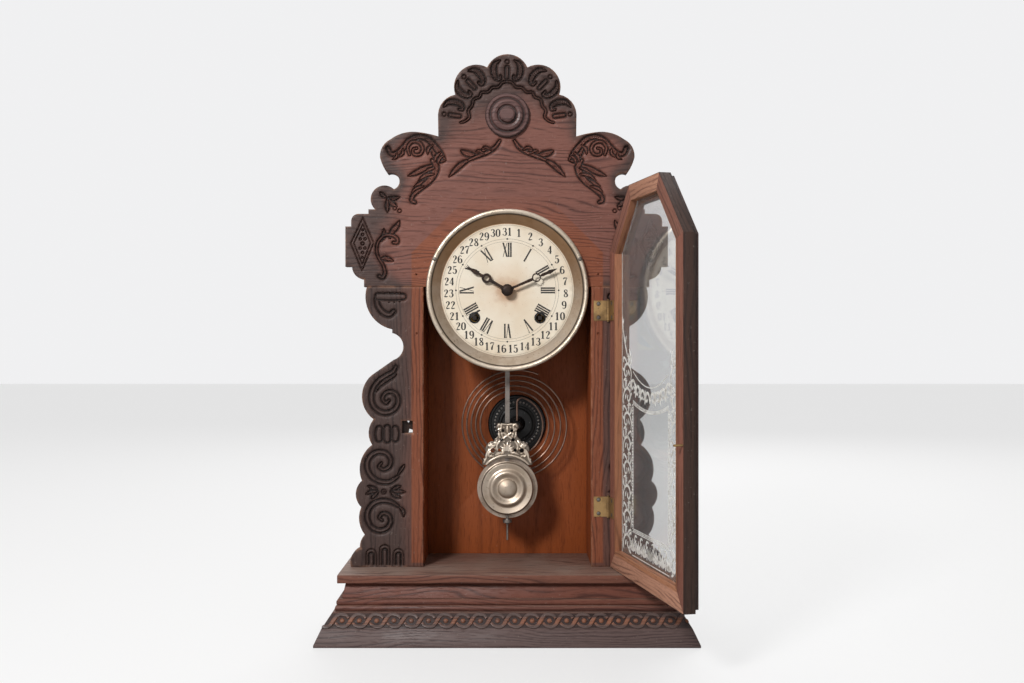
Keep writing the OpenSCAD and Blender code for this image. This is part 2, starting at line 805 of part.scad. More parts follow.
plate_holes = [
  [centre_at, centre_r], [time_at, winding_r], [strike_at, winding_r],
  [second_at, pivot_r], [third_at, pivot_r],
  [escape_at, pivot_r], [pin_at, pivot_r], [fly_at, pivot_r], [[0, verge_z], pivot_r], [hammer_at, pivot_r]
];
tenon_r = 1.5;

module plate(y0, y1) {
  top = dial_z + plate_up;
  low = dial_z - plate_down;
  x = plate_w / 2;
  difference() {
    slab(y0, y1) polygon([
      [-plate_foot_w, low], [plate_foot_w, low], [x, low + plate_chamfer], [x, top - 4], [x - 4, top],
      [4 - x, top], [-x, top - 4], [-x, low + plate_chamfer]
    ]);
    for (h = plate_holes) bar(h[0], h[1] + run, y0 - 1, y1 + 1, 24);
    for (p = pillar_at, s = [-1, 1]) bar([s * p[0], dial_z + p[1]], tenon_r + run, y0 - 1, y1 + 1, 24);
  }
}

// The front plate carries the post of the pendulum and the stud of the minute wheel
module front_plate() {
  color(brass) {
    plate(front_plate_y, front_inner_y);
    bar(motion_at, stud_r, rear_y + 1, front_plate_y + 0.2);
    difference() {
      bar([0, cock_z], cock_r, pendulum_y - 2.2, front_plate_y + 0.2, 32);
      translate([-strip_w / 2 - fit, pendulum_y - strip_t / 2 - fit, cock_z - 4])
        cube([strip_w + 2 * fit, strip_t + 2 * fit, 8]);
    }
  }
}
// The back plate is held to the back board by four bent lugs
module back_plate() {
  color(brass) {
    plate(back_inner_y, back_plate_y);
    difference() {
      for (p = lug_screws) {
        translate([p[0] - 4, back_plate_y - 0.2, p[1] + lug_in / 2 - plate_t])
          cube([8, board_y - back_plate_y + 0.2, plate_t]);
        translate([p[0] - 4, board_y - plate_t, p[1] - lug_in / 2]) cube([8, plate_t, lug_in]);
      }
      for (p = lug_screws) bar(p, screw_r + fit, board_y - plate_t - 1, board_y + 1, 16);
    }
  }
}

module pillars() {
  color(steel) for (p = pillar_at, s = [-1, 1]) {
    bar([s * p[0], dial_z + p[1]], pillar_r, front_inner_y, back_inner_y, 32);
    bar([s * p[0], dial_z + p[1]], tenon_r, front_plate_y, back_plate_y, 24);
  }
}

// A wheel with n teeth of module m, crossed out with four arms
module wheel(at, y, t, m, n, phase, bore = 0, arms = true) {
  r = m * n / 2;
  tip = r + 0.35 * m;
  root = r - 1.5 * m;
  hub = max(bore + 1.4, 2.4);
  inner = root - 1.6;
  translate([at[0], y + t, at[1]]) rotate([90, 0, 0]) linear_extrude(t) rotate(phase) difference() {
    union() {
      difference() {
        polygon([for (i = [0 : n - 1]) for (v = [[root, 0.5], [tip, 0.93], [tip, 1.07]])
          let (a = 360 * (i + v[1]) / n) v[0] * [cos(a), sin(a)]]);
        if (arms) circle(r = inner, $fn = 32);
      }
      if (arms) {
        circle(r = hub, $fn = 24);
        for (a = [0, 90]) rotate(a) square([2 * inner + 0.6, 2], center = true);
      }
    }
    if (bore > 0) circle(r = bore, $fn = 32);
  }
}

// A lantern pinion with n pins between two discs
module lantern(at, y0, y1, m, n, phase, pin, bore = 0, front = true, back = true) {
  r = m * n / 2;
  difference() {
    union() {
      if (front) bar(at, r + pin + 0.35, y0, y0 + 0.5, 20);
      if (back) bar(at, r + pin + 0.35, y1 - 0.5, y1, 20);
      for (i = [0 : n - 1]) let (a = phase + 360 * i / n)
        bar([at[0] + r * cos(a), at[1] + r * sin(a)], pin, y0, y1, 6);
    }
    if (bore > 0) bar(at, bore, y0 - 1, y1 + 1, 32);
  }
}

// An arbor between the plates, with its two pivots
module arbor(at, r = arbor_r) {
  bar(at, r, front_inner_y + end_play, back_inner_y - end_play);
  bar(at, pivot_r, front_plate_y, back_plate_y);
}

// Phases that put a pin of each pinion midway between two teeth of its wheel
function wheel_phase(from, to, n) = heading(from, to) + 180 / n;

time_click_y = great_y + great_t + 1;

// A great wheel, loose on its winding arbor, with a clicked ratchet beside it
module great_wheel(at, other) {
  wheel(at, great_y, great_t, great_m, great_n, wheel_phase(at, other, great_n), winding_r + run);
}

module winding_arbor(at) {
  tip_y = dial_y - 0.6;
  color(steel) {
    difference() {
      bar(at, winding_r, front_plate_y - 2, back_plate_y, 32);
      translate([at[0], front_plate_y - 3, at[1]]) cube([1, 0.5, 1], center = true);
    }
    translate([at[0] - winding_square / 2, tip_y, at[1] - winding_square / 2])
      cube([winding_square, front_plate_y - 2 - tip_y, winding_square]);
    translate([at[0], time_click_y + 1.6, at[1]]) rotate([90, 0, 0]) linear_extrude(1.6)
      polygon([for (i = [0 : ratchet_n - 1]) for (v = [[ratchet_r, 0], [ratchet_r - 1.6, 0.08]])
        let (a = 360 * (i + v[1]) / ratchet_n) v[0] * [cos(a), sin(a)]]);
    bar(at, barrel_r, spring_y, spring_y + spring_w, 32);
  }
}

// A flat mainspring: a spiral strip round the arbor's barrel
module mainspring(at) {
  steps = 16;
  r0 = barrel_r + clear + 0.3;
  pitch = (spring_r - r0) / spring_turns;
  turns = [for (i = [0 : steps * spring_turns]) [360 * i / steps, r0 + pitch * i / steps]];
  color(steel) translate([at[0], spring_y + spring_w, at[1]]) rotate([90, 0, 0]) linear_extrude(spring_w)
    polygon(concat(
      [for (p = turns) (p[1] + spring_t) * [cos(p[0]), sin(p[0])]],
      [for (i = [len(turns) - 1 : -1 : 0]) turns[i][1] * [cos(turns[i][0]), sin(turns[i][0])]]
    ));
}

module time_spring() {
  mainspring(time_at);
}

module strike_spring() {
  mainspring(strike_at);
}

module time_great_wheel() {
  color(brass) great_wheel(time_at, second_at);
}

module strike_great_wheel() {
  color(brass) great_wheel(strike_at, pin_at);
}

module time_winding_arbor() {
  winding_arbor(time_at);
}

module strike_winding_arbor() {
  winding_arbor(strike_at);
}

module second_wheel() {
  color(brass) {
    arbor(second_at);
    lantern(second_at, great_y - 1, great_y + great_t + 1, great_m, second_pins,
      heading(second_at, time_at), 0.55);
    bar(second_at, 3, great_y + great_t + 1, second_y + 0.1);
    wheel(second_at, second_y, wheel_t, second_m, second_n, wheel_phase(second_at, centre_at, second_n));
  }
}

// The centre arbor runs from the back plate to the hand nut
module centre_wheel() {
  color(brass) {
    bar(centre_at, centre_r, nut_y - nut_h + 1.3, back_plate_y, 32);
    lantern(centre_at, second_y - 1, second_y + wheel_t + 1, second_m, centre_pins,
      heading(centre_at, second_at), 0.55);
    wheel(centre_at, centre_y, wheel_t, centre_m, centre_n, wheel_phase(centre_at, third_at, centre_n));
  }
}

module third_wheel() {
  color(brass) {
    arbor(third_at);
    lantern(third_at, centre_y - 1, centre_y + wheel_t + 1, centre_m, third_pins,
      heading(third_at, centre_at), 0.3);
    wheel(third_at, third_y, wheel_t, third_m, third_n, wheel_phase(third_at, escape_at, third_n));
  }
}

module escape_wheel() {
  color(brass) {
    arbor(escape_at);
    lantern(escape_at, third_y - 1, third_y + wheel_t + 1, third_m, escape_pins,
      heading(escape_at, third_at), 0.28);
    translate([escape_at[0], escape_y + wheel_t, escape_at[1]]) rotate([90, 0, 0]) linear_extrude(wheel_t) {
      difference() {
        polygon([for (i = [0 : escape_n - 1])
          for (v = [[escape_r - 1.7, 0.3], [escape_r, 0.92], [escape_r, 1]])
          let (a = 360 * (i + v[1]) / escape_n) v[0] * [cos(a), sin(a)]]);
        circle(r = escape_r - 3.2, $fn = 32);
      }
      circle(r = 2.4, $fn = 24);
      for (a = [45, 135]) rotate(a) square([2 * escape_r - 6, 1.8], center = true);
    }
  }
}

// Strip pallets over the escape wheel, and the crutch wire that guides the pendulum
module verge() {
  reach = escape_r + pallet_gap;
  a = acos(reach / verge_drop);
  tip = [reach * sin(a), verge_z - verge_drop + reach * cos(a)];
  eye_z = verge_z - crutch_len;
  crutch_y = front_plate_y - clear - crutch_r;
  at = [0, verge_z];
  color(steel) {
    bar(at, arbor_r, front_inner_y + end_play, back_inner_y - end_play);
    bar(at, pivot_r, crutch_y, back_plate_y);
    bar(at, 2.4, escape_y - 1.4, escape_y + wheel_t + 1.4);
    slab(escape_y - 0.6, escape_y + wheel_t + 0.6) both_sides() polygon([
      [0, verge_z + 1.2], [tip[0] + 0.6, tip[1] + 4.2], [tip[0] + pallet_t, tip[1] + 2.6],
      [tip[0] + 0.2, tip[1]], [tip[0] - 0.5, tip[1] + 0.5], [tip[0] - 0.5, tip[1] + 2.4], [0, verge_z - 1.2]
    ]);
    translate([0, crutch_y, eye_z]) cylinder(r = crutch_r, h = crutch_len + 1, $fn = 16);
    eye = leader_r + 0.35;
    translate([-eye - 2 * crutch_r, crutch_y - crutch_r, eye_z - crutch_r])
      cube([2 * eye + 4 * crutch_r, 2 * crutch_r, 2 * crutch_r]);
    for (s = [-1, 1]) translate([s * (eye + crutch_r) - crutch_r, pendulum_y - leader_r, eye_z - crutch_r])
      cube([2 * crutch_r, crutch_y - pendulum_y + leader_r, 2 * crutch_r]);
  }
}

// Motion work in front of the front plate
module cannon_pinion() {
  color(brass) difference() {
    union() {
      bar(centre_at, cannon_r, minute_y - hand_t, cannon_y + 3.4, 32);
      lantern(centre_at, cannon_y - 0.4, cannon_y + 3.4, motion_m, cannon_pins,
        heading(centre_at, motion_at), 0.42);
    }
    bar(centre_at, centre_r + run, minute_y - hand_t - 1, cannon_y + 5, 32);
  }
}

module minute_wheel() {
  y = cannon_y + 1;
  color(brass) difference() {
    union() {
      wheel(motion_at, y, wheel_t, motion_m, minute_n,
        wheel_phase(motion_at, centre_at, minute_n), stud_r + run);
      bar(motion_at, 1.9, hour_wheel_y - 0.8, y + 0.1);
      lantern(motion_at, hour_wheel_y - 0.8, y + 0.1, motion_m, minute_pins,
        heading(motion_at, centre_at), 0.42, 0, true, false);
    }
    bar(motion_at, stud_r + run, rear_y - 1, front_plate_y, 32);
  }
}

module hour_wheel() {
  color(brass) {
    wheel(centre_at, hour_wheel_y, wheel_t, motion_m, hour_n,
      wheel_phase(centre_at, motion_at, hour_n), cannon_r + run);
    difference() {
      bar(centre_at, hour_pipe_r, hour_y - hand_t, hour_wheel_y + 0.1, 32);
      bar(centre_at, cannon_r + run, hour_y - hand_t - 1, hour_wheel_y + 1, 32);
    }
  }
}

// The strike train's second wheel carries the pins that lift the hammer
lift_r = strike_m * (strike_n / 2 - 1.5) - 0.8;

module pin_wheel() {
  color(brass) {
    arbor(pin_at);
    lantern(pin_at, great_y - 1, great_y + great_t + 1, great_m, second_pins,
      heading(pin_at, strike_at), 0.55);
    bar(pin_at, 3, great_y + great_t + 1, pin_y + 0.1);
    wheel(pin_at, pin_y, wheel_t, strike_m, strike_n, wheel_phase(pin_at, fly_at, strike_n));
    for (a = [22 : 45 : 360])
      bar([pin_at[0] + lift_r * cos(a), pin_at[1] + lift_r * sin(a)], 0.7, pin_y, pin_y + 4, 8);
  }
}

module fly() {
  color(brass) {
    arbor(fly_at);
    lantern(fly_at, pin_y - 1, pin_y + wheel_t + 1, strike_m, fly_pins, heading(fly_at, pin_at), 0.32);
    translate([fly_at[0], pin_y + 11, fly_at[1]]) rotate([0, 20, 0]) cube([17, 12, 0.7], center = true);
    bar(fly_at, 1.6, pin_y + 4.2, pin_y + 17.8);
  }
}

// The hammer: an arbor, a bent wire and a head that stands over the outer turn of the gong
hammer_reach = gong_r + gong_wire_r + hammer_gap + hammer_head_r;
hammer_head_at = [hammer_head_x, gong_z + sqrt(pow(hammer_reach, 2) - pow(hammer_head_x - gong_x, 2))];

module hammer() {
  d = norm(hammer_head_at - hammer_at);
  a = heading(hammer_at, hammer_head_at);
  color(steel) {
    arbor(hammer_at);
    bar(hammer_at, 1.8, gong_y - 4, gong_y + 4);
    translate([hammer_at[0], gong_y, hammer_at[1]]) rotate([0, 90 - a, 0])
      cylinder(r = 0.8, h = d, $fn = 16);
    bar(hammer_head_at, hammer_head_r, gong_y - 4, gong_y + 4);
  }
}

module suspension_spring() {
  z0 = rod_join_z + fit;
  top = cock_z + cock_r + fit;
  color(steel) {
    translate([-strip_w / 2, pendulum_y - strip_t / 2, z0]) cube([strip_w, strip_t, top + 0.2 - z0]);
    translate([-2.6, pendulum_y - 1.2, top]) cube([5.2, 2.4, 1.4]);
  }
}
rod_join_z = verge_z - 8;

// The rod: a thin wire that passes round the hands' arbor, and a flat strip below it
module pendulum_rod() {
  steps = 16;
  top = rod_join_z;
  low = rod_top_z;
  color(steel) {
    for (r = [[dial_z + loop_r, top], [low - 1, dial_z - loop_r]])
      translate([0, pendulum_y, r[0]]) cylinder(r = leader_r, h = r[1] - r[0], $fn = 16);
    slab(pendulum_y - rod_t / 2, pendulum_y + rod_t / 2) translate([0, dial_z]) difference() {
      circle(r = loop_r + leader_r, $fn = 48);
      circle(r = loop_r - leader_r, $fn = 48);
    }
    slab(pendulum_y - rod_t / 2, pendulum_y + rod_t / 2)
      translate([-rod_w / 2, bob_z - nut_drop + 6]) square([rod_w, low - bob_z + nut_drop - 6]);
    translate([0, pendulum_y, bob_z - thread_end])
      cylinder(r = thread_r, h = thread_end - nut_drop + 6.5, $fn = 24);
  }
}

module bob_back() {
  y = pendulum_y + rod_t / 2 + fit;
  color(nickel) difference() {
    bar([0, bob_z], bob_r, y, y + bob_t, 64);
    translate([-thread_r - fit, y - 1, bob_z - bob_r - 1])
      cube([2 * (thread_r + fit), 1 + thread_r - rod_t / 2, 8]);
  }
}

// Stamped rings and a centre dome, over a slot for the rod
module bob_shell() {
  y = pendulum_y + rod_t / 2 + fit;
  h = shell_h;
  r = shell_r;
  color(nickel) difference() {
    turned([0, bob_z], [
      [0, y], [r, y], [r, y - 3], [r * 0.96, y - 4], [r * 0.86, y - 4.4], [r * 0.8, y - 3.4],
      [r * 0.78, y - 5],
      [r * 0.73, y - 5.8], [r * 0.67, y - 5], [r * 0.63, y - 4], [r * 0.5, y - 4], [r * 0.46, y - 5.6],
      [r * 0.4, y - 5.8], [r * 0.36, y - 4.8], [r * 0.3, y - 6.4], [r * 0.18, y - h + 0.3], [0, y - h]
    ], 64);
    translate([-rod_w / 2 - fit, y - rod_t - 2 * fit, bob_z - bob_r])
      cube([rod_w + 2 * fit, rod_t + 2 * fit + 1, 2 * bob_r]);
  }
}

// A flat casting that stands on the bob, in front of the rod
module bob_ornament() {
  y1 = pendulum_y - rod_t / 2 - fit;
  half = edge(ornament_edge, [0, 61.9]);
  color(nickel) slab(y1 - ornament_t, y1) translate([0, bob_z]) difference() {
    polygon(concat(half, mirrored([for (i = [0 : len(half) - 2]) half[i]]), [[0, 20]]));
    circle(r = bob_r + fit, $fn = 96);
    for (s = [-1, 1]) {
      translate([s * 13.6, 36]) circle(r = 2, $fn = 16);
      translate([s * 5.4, 46]) circle(r = 1.5, $fn = 16);
      translate([s * 7.4, 36.2]) circle(r = 1.4, $fn = 16);
      translate([s * 4.2, 54.6]) circle(r = 1.3, $fn = 16);
    }
  }
}

module rating_nut() {
  z = bob_z - nut_drop;
  color(brass) translate([0, pendulum_y, z]) difference() {
    union() {
      cylinder(r = 4.2, h = 2.6, $fn = 24);
      translate([0, 0, 2.6]) cylinder(r1 = 2.6, r2 = 2, h = 1.1, $fn = 24);
      translate([0, 0, -1.4]) cylinder(r1 = 1.8, r2 = 2.4, h = 1.4, $fn = 24);
    }
    translate([0, 0, -2]) cylinder(r = thread_r + run, h = 8, $fn = 24);
  }
}

// The wire's centre line, in the plane of the coil, as [x, z] from the base's middle
gong_inner = gong_r - gong_turns * gong_pitch;
gong_join = acos((gong_lean + gong_bend) / (gong_inner - gong_bend));
gong_bend_z = (gong_inner - gong_bend) * sin(gong_join);
gong_line = concat(
  [[0, post_r - 2.2], [0, post_r + 6], [0, gong_bend_z]],
  [for (i = [1 : 4]) let (a = 180 - (180 - gong_join) * i / 5)
    [gong_bend + gong_bend * cos(a), gong_bend_z + gong_bend * sin(a)]],
  [for (i = [0 : gong_turns * gong_steps])
    let (t = i / gong_steps, a = gong_join - 360 * t, r = gong_inner + gong_pitch * t)
    [r * cos(a) - gong_lean * (1 - 0.16 * t), r * sin(a)]]
);
function unit(v) = v / norm(v);
gong_last = len(gong_line) - 1;
gong_end = gong_line[gong_last];
gong_run = concat(gong_line, [gong_end + 2 * gong_wire_r * unit(gong_end - gong_line[gong_last - 1])]);
gong_rings = len(gong_run);
// A ring's direction halves the turn between its two neighbours
function gong_way(i) =
  i == 0 ? unit(gong_run[1] - gong_run[0]) :
  i == gong_rings - 1 ? unit(gong_run[i] - gong_run[i - 1]) :
  unit(unit(gong_run[i] - gong_run[i - 1]) + unit(gong_run[i + 1] - gong_run[i]));
gong_points = [for (i = [0 : gong_rings - 1]) let (w = gong_way(i), m = [w[1], -w[0]])
  for (k = [0 : gong_sides - 1]) let (a = 360 * (k + 0.5) / gong_sides, s = gong_wire_r * cos(a))
  [gong_x + gong_run[i][0] + m[0] * s, gong_y + gong_wire_r * sin(a), gong_z + gong_run[i][1] + m[1] * s]];
gong_faces = concat(
  [[for (k = [0 : gong_sides - 1]) gong_sides - 1 - k]],
  [for (i = [0 : gong_rings - 2], k = [0 : gong_sides - 1])
    let (a = i * gong_sides + k, b = i * gong_sides + (k + 1) % gong_sides)
    each [[a, b, b + gong_sides], [a, b + gong_sides, a + gong_sides]]],
  [[for (k = [0 : gong_sides - 1]) (gong_rings - 1) * gong_sides + k]]
);
// Least gap between points of the wire that lie more than half a turn apart
gong_gap = min([for (i = [3 : gong_rings - 1], j = [i + gong_steps / 2 : 1 : gong_rings - 1])
  norm(gong_run[i] - gong_run[j])]) - 2 * gong_wire_r;

module gong_coil() {
  echo(gong_gap = gong_gap);
  color(steel) polyhedron(points = gong_points, faces = gong_faces);
}

// A cast disc with a raised border and a post that holds the wire
module gong_base() {
  r = gong_base_r;
  y = board_y;
  h = gong_base_h;
  color(iron) difference() {
    turned([gong_x, gong_z], [
      [0, y], [r, y], [r, y - 2], [r * 0.96, y - 3], [r * 0.91, y - 3], [r * 0.88, y - 2.2],
      [r * 0.65, y - 2.8], [r * 0.615, y - 4], [r * 0.566, y - 4.4], [r * 0.51, y - 3.2],
      [post_r + 4, y - 4], [post_r + 1.2, y - h],
      [post_r, gong_y + 3], [post_r, gong_y - 3], [post_r - 1, gong_y - 4], [0, gong_y - 4]
    ], 48);
    translate([gong_x, gong_y, gong_z]) cylinder(r = gong_wire_r + fit, h = post_r + 2, $fn = 24);
    bar(gong_screw, screw_r + fit, y - 10, y + 1, 16);
    bar(gong_screw, screw_head_r + 0.4, y - 10, y - 3, 16);
  }
}

crest_board();
crest_rosette();
left_front_stile();
right_front_stile();
case_left_side();
case_right_side();
case_top();
back_board();
shelf_board();
base_front_moulding();
base_left_moulding();
base_right_moulding();
base_bottom();
door_hinge_stile();
door_free_stile();
door_bottom_rail();
door_top_rail();
door_shoulder_rails();
door_glass();
door_catch();
latch_keeper();
hinge_case_leaves();
hinge_door_leaves();
hinge_pins();
case_screws();
door_screws();
dial_pan();
dial_paper();
dial_eyelets();
hour_hand();
minute_hand();
hand_nut();
front_plate();
back_plate();
pillars();
time_spring();
strike_spring();
time_great_wheel();
strike_great_wheel();
time_winding_arbor();
strike_winding_arbor();
second_wheel();
centre_wheel();
third_wheel();
escape_wheel();
verge();
cannon_pinion();
minute_wheel();
hour_wheel();
pin_wheel();
fly();
hammer();
suspension_spring();
pendulum_rod();
bob_back();
bob_shell();
bob_ornament();
rating_nut();
gong_coil();
gong_base();
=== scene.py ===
# %% [markdown]
# # A carved table clock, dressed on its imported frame
# The clock is a parlour clock of pressed and carved wood with a glazed door, a tin dial, a
# cast pendulum and a coil gong. Its shapes and joints come ready made as the frame. This
# notebook gives each piece its surface, and remakes the few pieces whose carving, casting
# or winding a plain solid can't show. Everything is in metres, Z up, with the front at -Y.

# %% The frame
import math

import bmesh
import bpy
import numpy as np
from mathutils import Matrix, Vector, geometry


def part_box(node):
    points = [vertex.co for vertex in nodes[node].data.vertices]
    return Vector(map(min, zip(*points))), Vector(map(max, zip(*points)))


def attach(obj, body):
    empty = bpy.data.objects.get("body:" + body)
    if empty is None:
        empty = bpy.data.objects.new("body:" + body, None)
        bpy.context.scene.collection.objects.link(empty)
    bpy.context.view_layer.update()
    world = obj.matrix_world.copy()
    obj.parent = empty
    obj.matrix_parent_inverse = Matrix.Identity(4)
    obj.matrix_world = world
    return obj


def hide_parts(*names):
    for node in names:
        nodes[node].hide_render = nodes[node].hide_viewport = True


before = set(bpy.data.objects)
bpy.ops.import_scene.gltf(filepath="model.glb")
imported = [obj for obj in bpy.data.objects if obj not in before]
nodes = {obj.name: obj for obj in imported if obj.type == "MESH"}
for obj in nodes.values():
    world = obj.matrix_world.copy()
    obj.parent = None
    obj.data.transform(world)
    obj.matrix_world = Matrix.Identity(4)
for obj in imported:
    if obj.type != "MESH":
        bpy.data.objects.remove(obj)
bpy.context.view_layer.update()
MM = 0.001
print("pieces in the frame:", len(nodes))

# %% [markdown]
# ## Camera, floor and light
# The photograph was taken level, from a little right of the middle and 27 cm above the
# table, so the camera has no tilt. The lens follows from how fast the base narrows towards
# the back. A lamp on the upper left throws the shadows that the photograph has inside the
# case, and three weak ones lift the rest. The floor is plain and pale.

# %% Camera, floor and light
scene = bpy.context.scene
scene.view_settings.view_transform = "Standard"
camera = bpy.data.objects.new("camera", bpy.data.cameras.new("camera"))
camera.data.lens = 38.8
camera.location = (0.0044, -1.0376, 0.2705)
camera.rotation_euler = (math.pi / 2, 0, 0)
scene.collection.objects.link(camera)
scene.camera = camera


def lamp(name, at, aim, size, power):
    """A square area lamp that shines from one point towards another."""
    data = bpy.data.lights.new(name, "AREA")
    data.size = size
    data.energy = power
    lamp_object = bpy.data.objects.new(name, data)
    lamp_object.location = at
    lamp_object.rotation_euler = (Vector(aim) - Vector(at)).to_track_quat("-Z", "Y").to_euler()
    scene.collection.objects.link(lamp_object)


lamp("key_lamp", (-0.76, -1.5, 1.18), (0, 0, 0.27), 0.34, 30.5)
lamp("fill_lamp", (1.5, -1.3, 0.7), (0, 0, 0.25), 1.2, 1.5)
lamp("top_lamp", (0, 0.1, 1.9), (0, 0, 0.2), 1.2, 7)
lamp("back_lamp", (0.3, 1.6, 1.3), (0, 0, 0.3), 1.2, 15)


def put(tree, kind, inputs=None, **settings):
    """A node with its settings, and each input either joined to a socket or given a value."""
    made = tree.nodes.new(kind)
    for key, value in settings.items():
        setattr(made, key, value)
    for key, value in (inputs or {}).items():
        if isinstance(value, bpy.types.NodeSocket):
            tree.links.new(value, made.inputs[key])
        else:
            made.inputs[key].default_value = value
    return made


def calc(tree, operation, a, b=0.0, c=0.0):
    """The result of one Math node."""
    return put(tree, "ShaderNodeMath", {0: a, 1: b, 2: c}, operation=operation).outputs[0]


def blend(tree, share, a, b, how="MIX"):
    """Colour a with a share of colour b mixed in."""
    made = put(tree, "ShaderNodeMix", {0: share, 6: a, 7: b}, data_type="RGBA", blend_type=how)
    return made.outputs[2]


def seen(tree):
    """One for a ray that the camera sees, straight, mirrored or through glass."""
    rays = put(tree, "ShaderNodeLightPath").outputs
    either = calc(tree, "MAXIMUM", rays["Is Camera Ray"], rays["Is Transmission Ray"])
    return calc(tree, "MAXIMUM", either, rays["Is Glossy Ray"])


# The wall behind and the floor look bright wherever they are seen, and light little themselves
WALL_SEEN, WALL_LIGHT, FLOOR_GLOW = 0.9, 0.25, 0.60
FLOOR_HALF = 6
world = bpy.data.worlds.new("studio")
scene.world = world
world.use_nodes = True
tree = world.node_tree
tree.nodes.clear()
strength = put(tree, "ShaderNodeMapRange", {"Value": seen(tree), "To Min": WALL_LIGHT, "To Max": WALL_SEEN})
sky = put(tree, "ShaderNodeBackground", {"Color": (0.97, 0.97, 0.98, 1), "Strength": strength.outputs[0]})
put(tree, "ShaderNodeOutputWorld", {"Surface": sky.outputs[0]})

floor_mesh = bpy.data.meshes.new("floor")
corners = [(FLOOR_HALF * x, FLOOR_HALF * y, 0) for x, y in ((-1, -1), (1, -1), (1, 1), (-1, 1))]
floor_mesh.from_pydata(corners, [], [(0, 1, 2, 3)])
floor = bpy.data.objects.new("floor", floor_mesh)
scene.collection.objects.link(floor)
floor_finish = bpy.data.materials.new("pale_floor")
floor_finish.use_nodes = True
tree, shader = floor_finish.node_tree, floor_finish.node_tree.nodes["Principled BSDF"]
dapple = put(tree, "ShaderNodeTexNoise", {"Scale": 3.0, "Detail": 3.0}).outputs["Fac"]
pale = blend(tree, dapple, (0.235, 0.233, 0.231, 1), (0.255, 0.253, 0.251, 1))
tree.links.new(pale, shader.inputs["Base Color"])
tree.links.new(calc(tree, "MULTIPLY", seen(tree), FLOOR_GLOW), shader.inputs["Emission Strength"])
shader.inputs["Emission Color"].default_value = (1, 1, 1, 1)
shader.inputs["Roughness"].default_value = 0.7
floor_mesh.materials.append(floor_finish)
print("camera at", tuple(round(v, 4) for v in camera.location), "lens", camera.data.lens)

# %% [markdown]
# ## Small helpers for shaders
# A shader group is built once and used in every wood or metal. These helpers keep the node
# building short: a soft step, a noise, a place split into X, Y and Z, and the sockets of a
# group.

# %% Shader helpers
FLOAT, VECTOR = "NodeSocketFloat", "NodeSocketVector"


def tone(code):
    """A colour written as on screen, such as 815a4e, in the linear numbers of a shader."""
    parts = [int(code[i : i + 2], 16) / 255 for i in (0, 2, 4)]
    return tuple(p / 12.92 if p < 0.04045 else ((p + 0.055) / 1.055) ** 2.4 for p in parts) + (1.0,)


def step(tree, value, low, high, to_low=0.0, to_high=1.0):
    """Runs smoothly from to_low to to_high while the value goes from low to high."""
    limits = {"From Min": low, "From Max": high, "To Min": to_low, "To Max": to_high}
    made = put(tree, "ShaderNodeMapRange", {"Value": value, **limits})
    made.interpolation_type = "SMOOTHSTEP"
    return made.outputs[0]


def noise(tree, place, factors, detail=2.0, rough=0.55):
    """Noise with its own number of bumps per metre along X, Y and Z."""
    scaled = put(tree, "ShaderNodeVectorMath", {0: place, 1: factors}, operation="MULTIPLY").outputs[0]
    settings = {"Scale": 1.0, "Detail": detail, "Roughness": rough}
    return put(tree, "ShaderNodeTexNoise", {"Vector": scaled, **settings}).outputs["Fac"]


def own_place(tree):
    """The point's place in the clock, in metres."""
    return put(tree, "ShaderNodeTexCoord").outputs["Object"]


def split(tree, place):
    """X, Y and Z of a place."""
    return put(tree, "ShaderNodeSeparateXYZ", {0: place}).outputs


def from_middle(tree, place, middle):
    """Distance from a line along Y through the middle, and the height above it."""
    back = [-c for c in middle]
    p = split(tree, put(tree, "ShaderNodeMapping", {"Vector": place, "Location": back}).outputs[0])
    squares = calc(tree, "ADD", calc(tree, "MULTIPLY", p[0], p[0]), calc(tree, "MULTIPLY", p[2], p[2]))
    return calc(tree, "SQRT", squares), p[2]


def attribute(tree, name):
    """A number that the mesh carries on its points or faces."""
    return put(tree, "ShaderNodeAttribute", attribute_name=name).outputs["Fac"]


def new_group(name, inputs, outputs):
    """An empty shader group with float or vector sockets, given as (name, kind, value)."""
    tree = bpy.data.node_groups.new(name, "ShaderNodeTree")
    for label, kind, value in inputs:
        socket = tree.interface.new_socket(label, in_out="INPUT", socket_type=kind)
        if kind == FLOAT:
            socket.default_value = value
    for label in outputs:
        tree.interface.new_socket(label, in_out="OUTPUT", socket_type=FLOAT)
    return tree, tree.nodes.new("NodeGroupInput").outputs


def deliver(tree, results):
    """Joins the results of a group to its output sockets."""
    end = tree.nodes.new("NodeGroupOutput")
    for label, value in results.items():
        tree.links.new(value, end.inputs[label])
    print("group", tree.name, "gives", ", ".join(results))


def use_group(tree, group, inputs):
    """The outputs of a shader group, fed with sockets or values."""
    return put(tree, "ShaderNodeGroup", inputs, node_tree=group).outputs


def start(name):
    """A new material with its Principled shader."""
    made = bpy.data.materials.new(name)
    made.use_nodes = True
    return made, made.node_tree, made.node_tree.nodes["Principled BSDF"]


def bumpy(tree, shader, height, strength, deep):
    """Lets a height field, so many metres deep, bend the shader's normal."""
    made = put(tree, "ShaderNodeBump", {"Height": height, "Strength": strength, "Distance": deep})
    tree.links.new(made.outputs[0], shader.inputs["Normal"])


print("shader helpers ready")

# %% [markdown]
# ## The grain of the wood
# The case is of open-pored wood under old varnish: dark wavy lines a few millimetres apart,
# long fibres between them, and short pores. A picture of wood would slide over the edges,
# so the grain is computed in space: the board is cut out of it, and end grain comes free.
# The group wants the grain along its X, so each board turns its own place before.

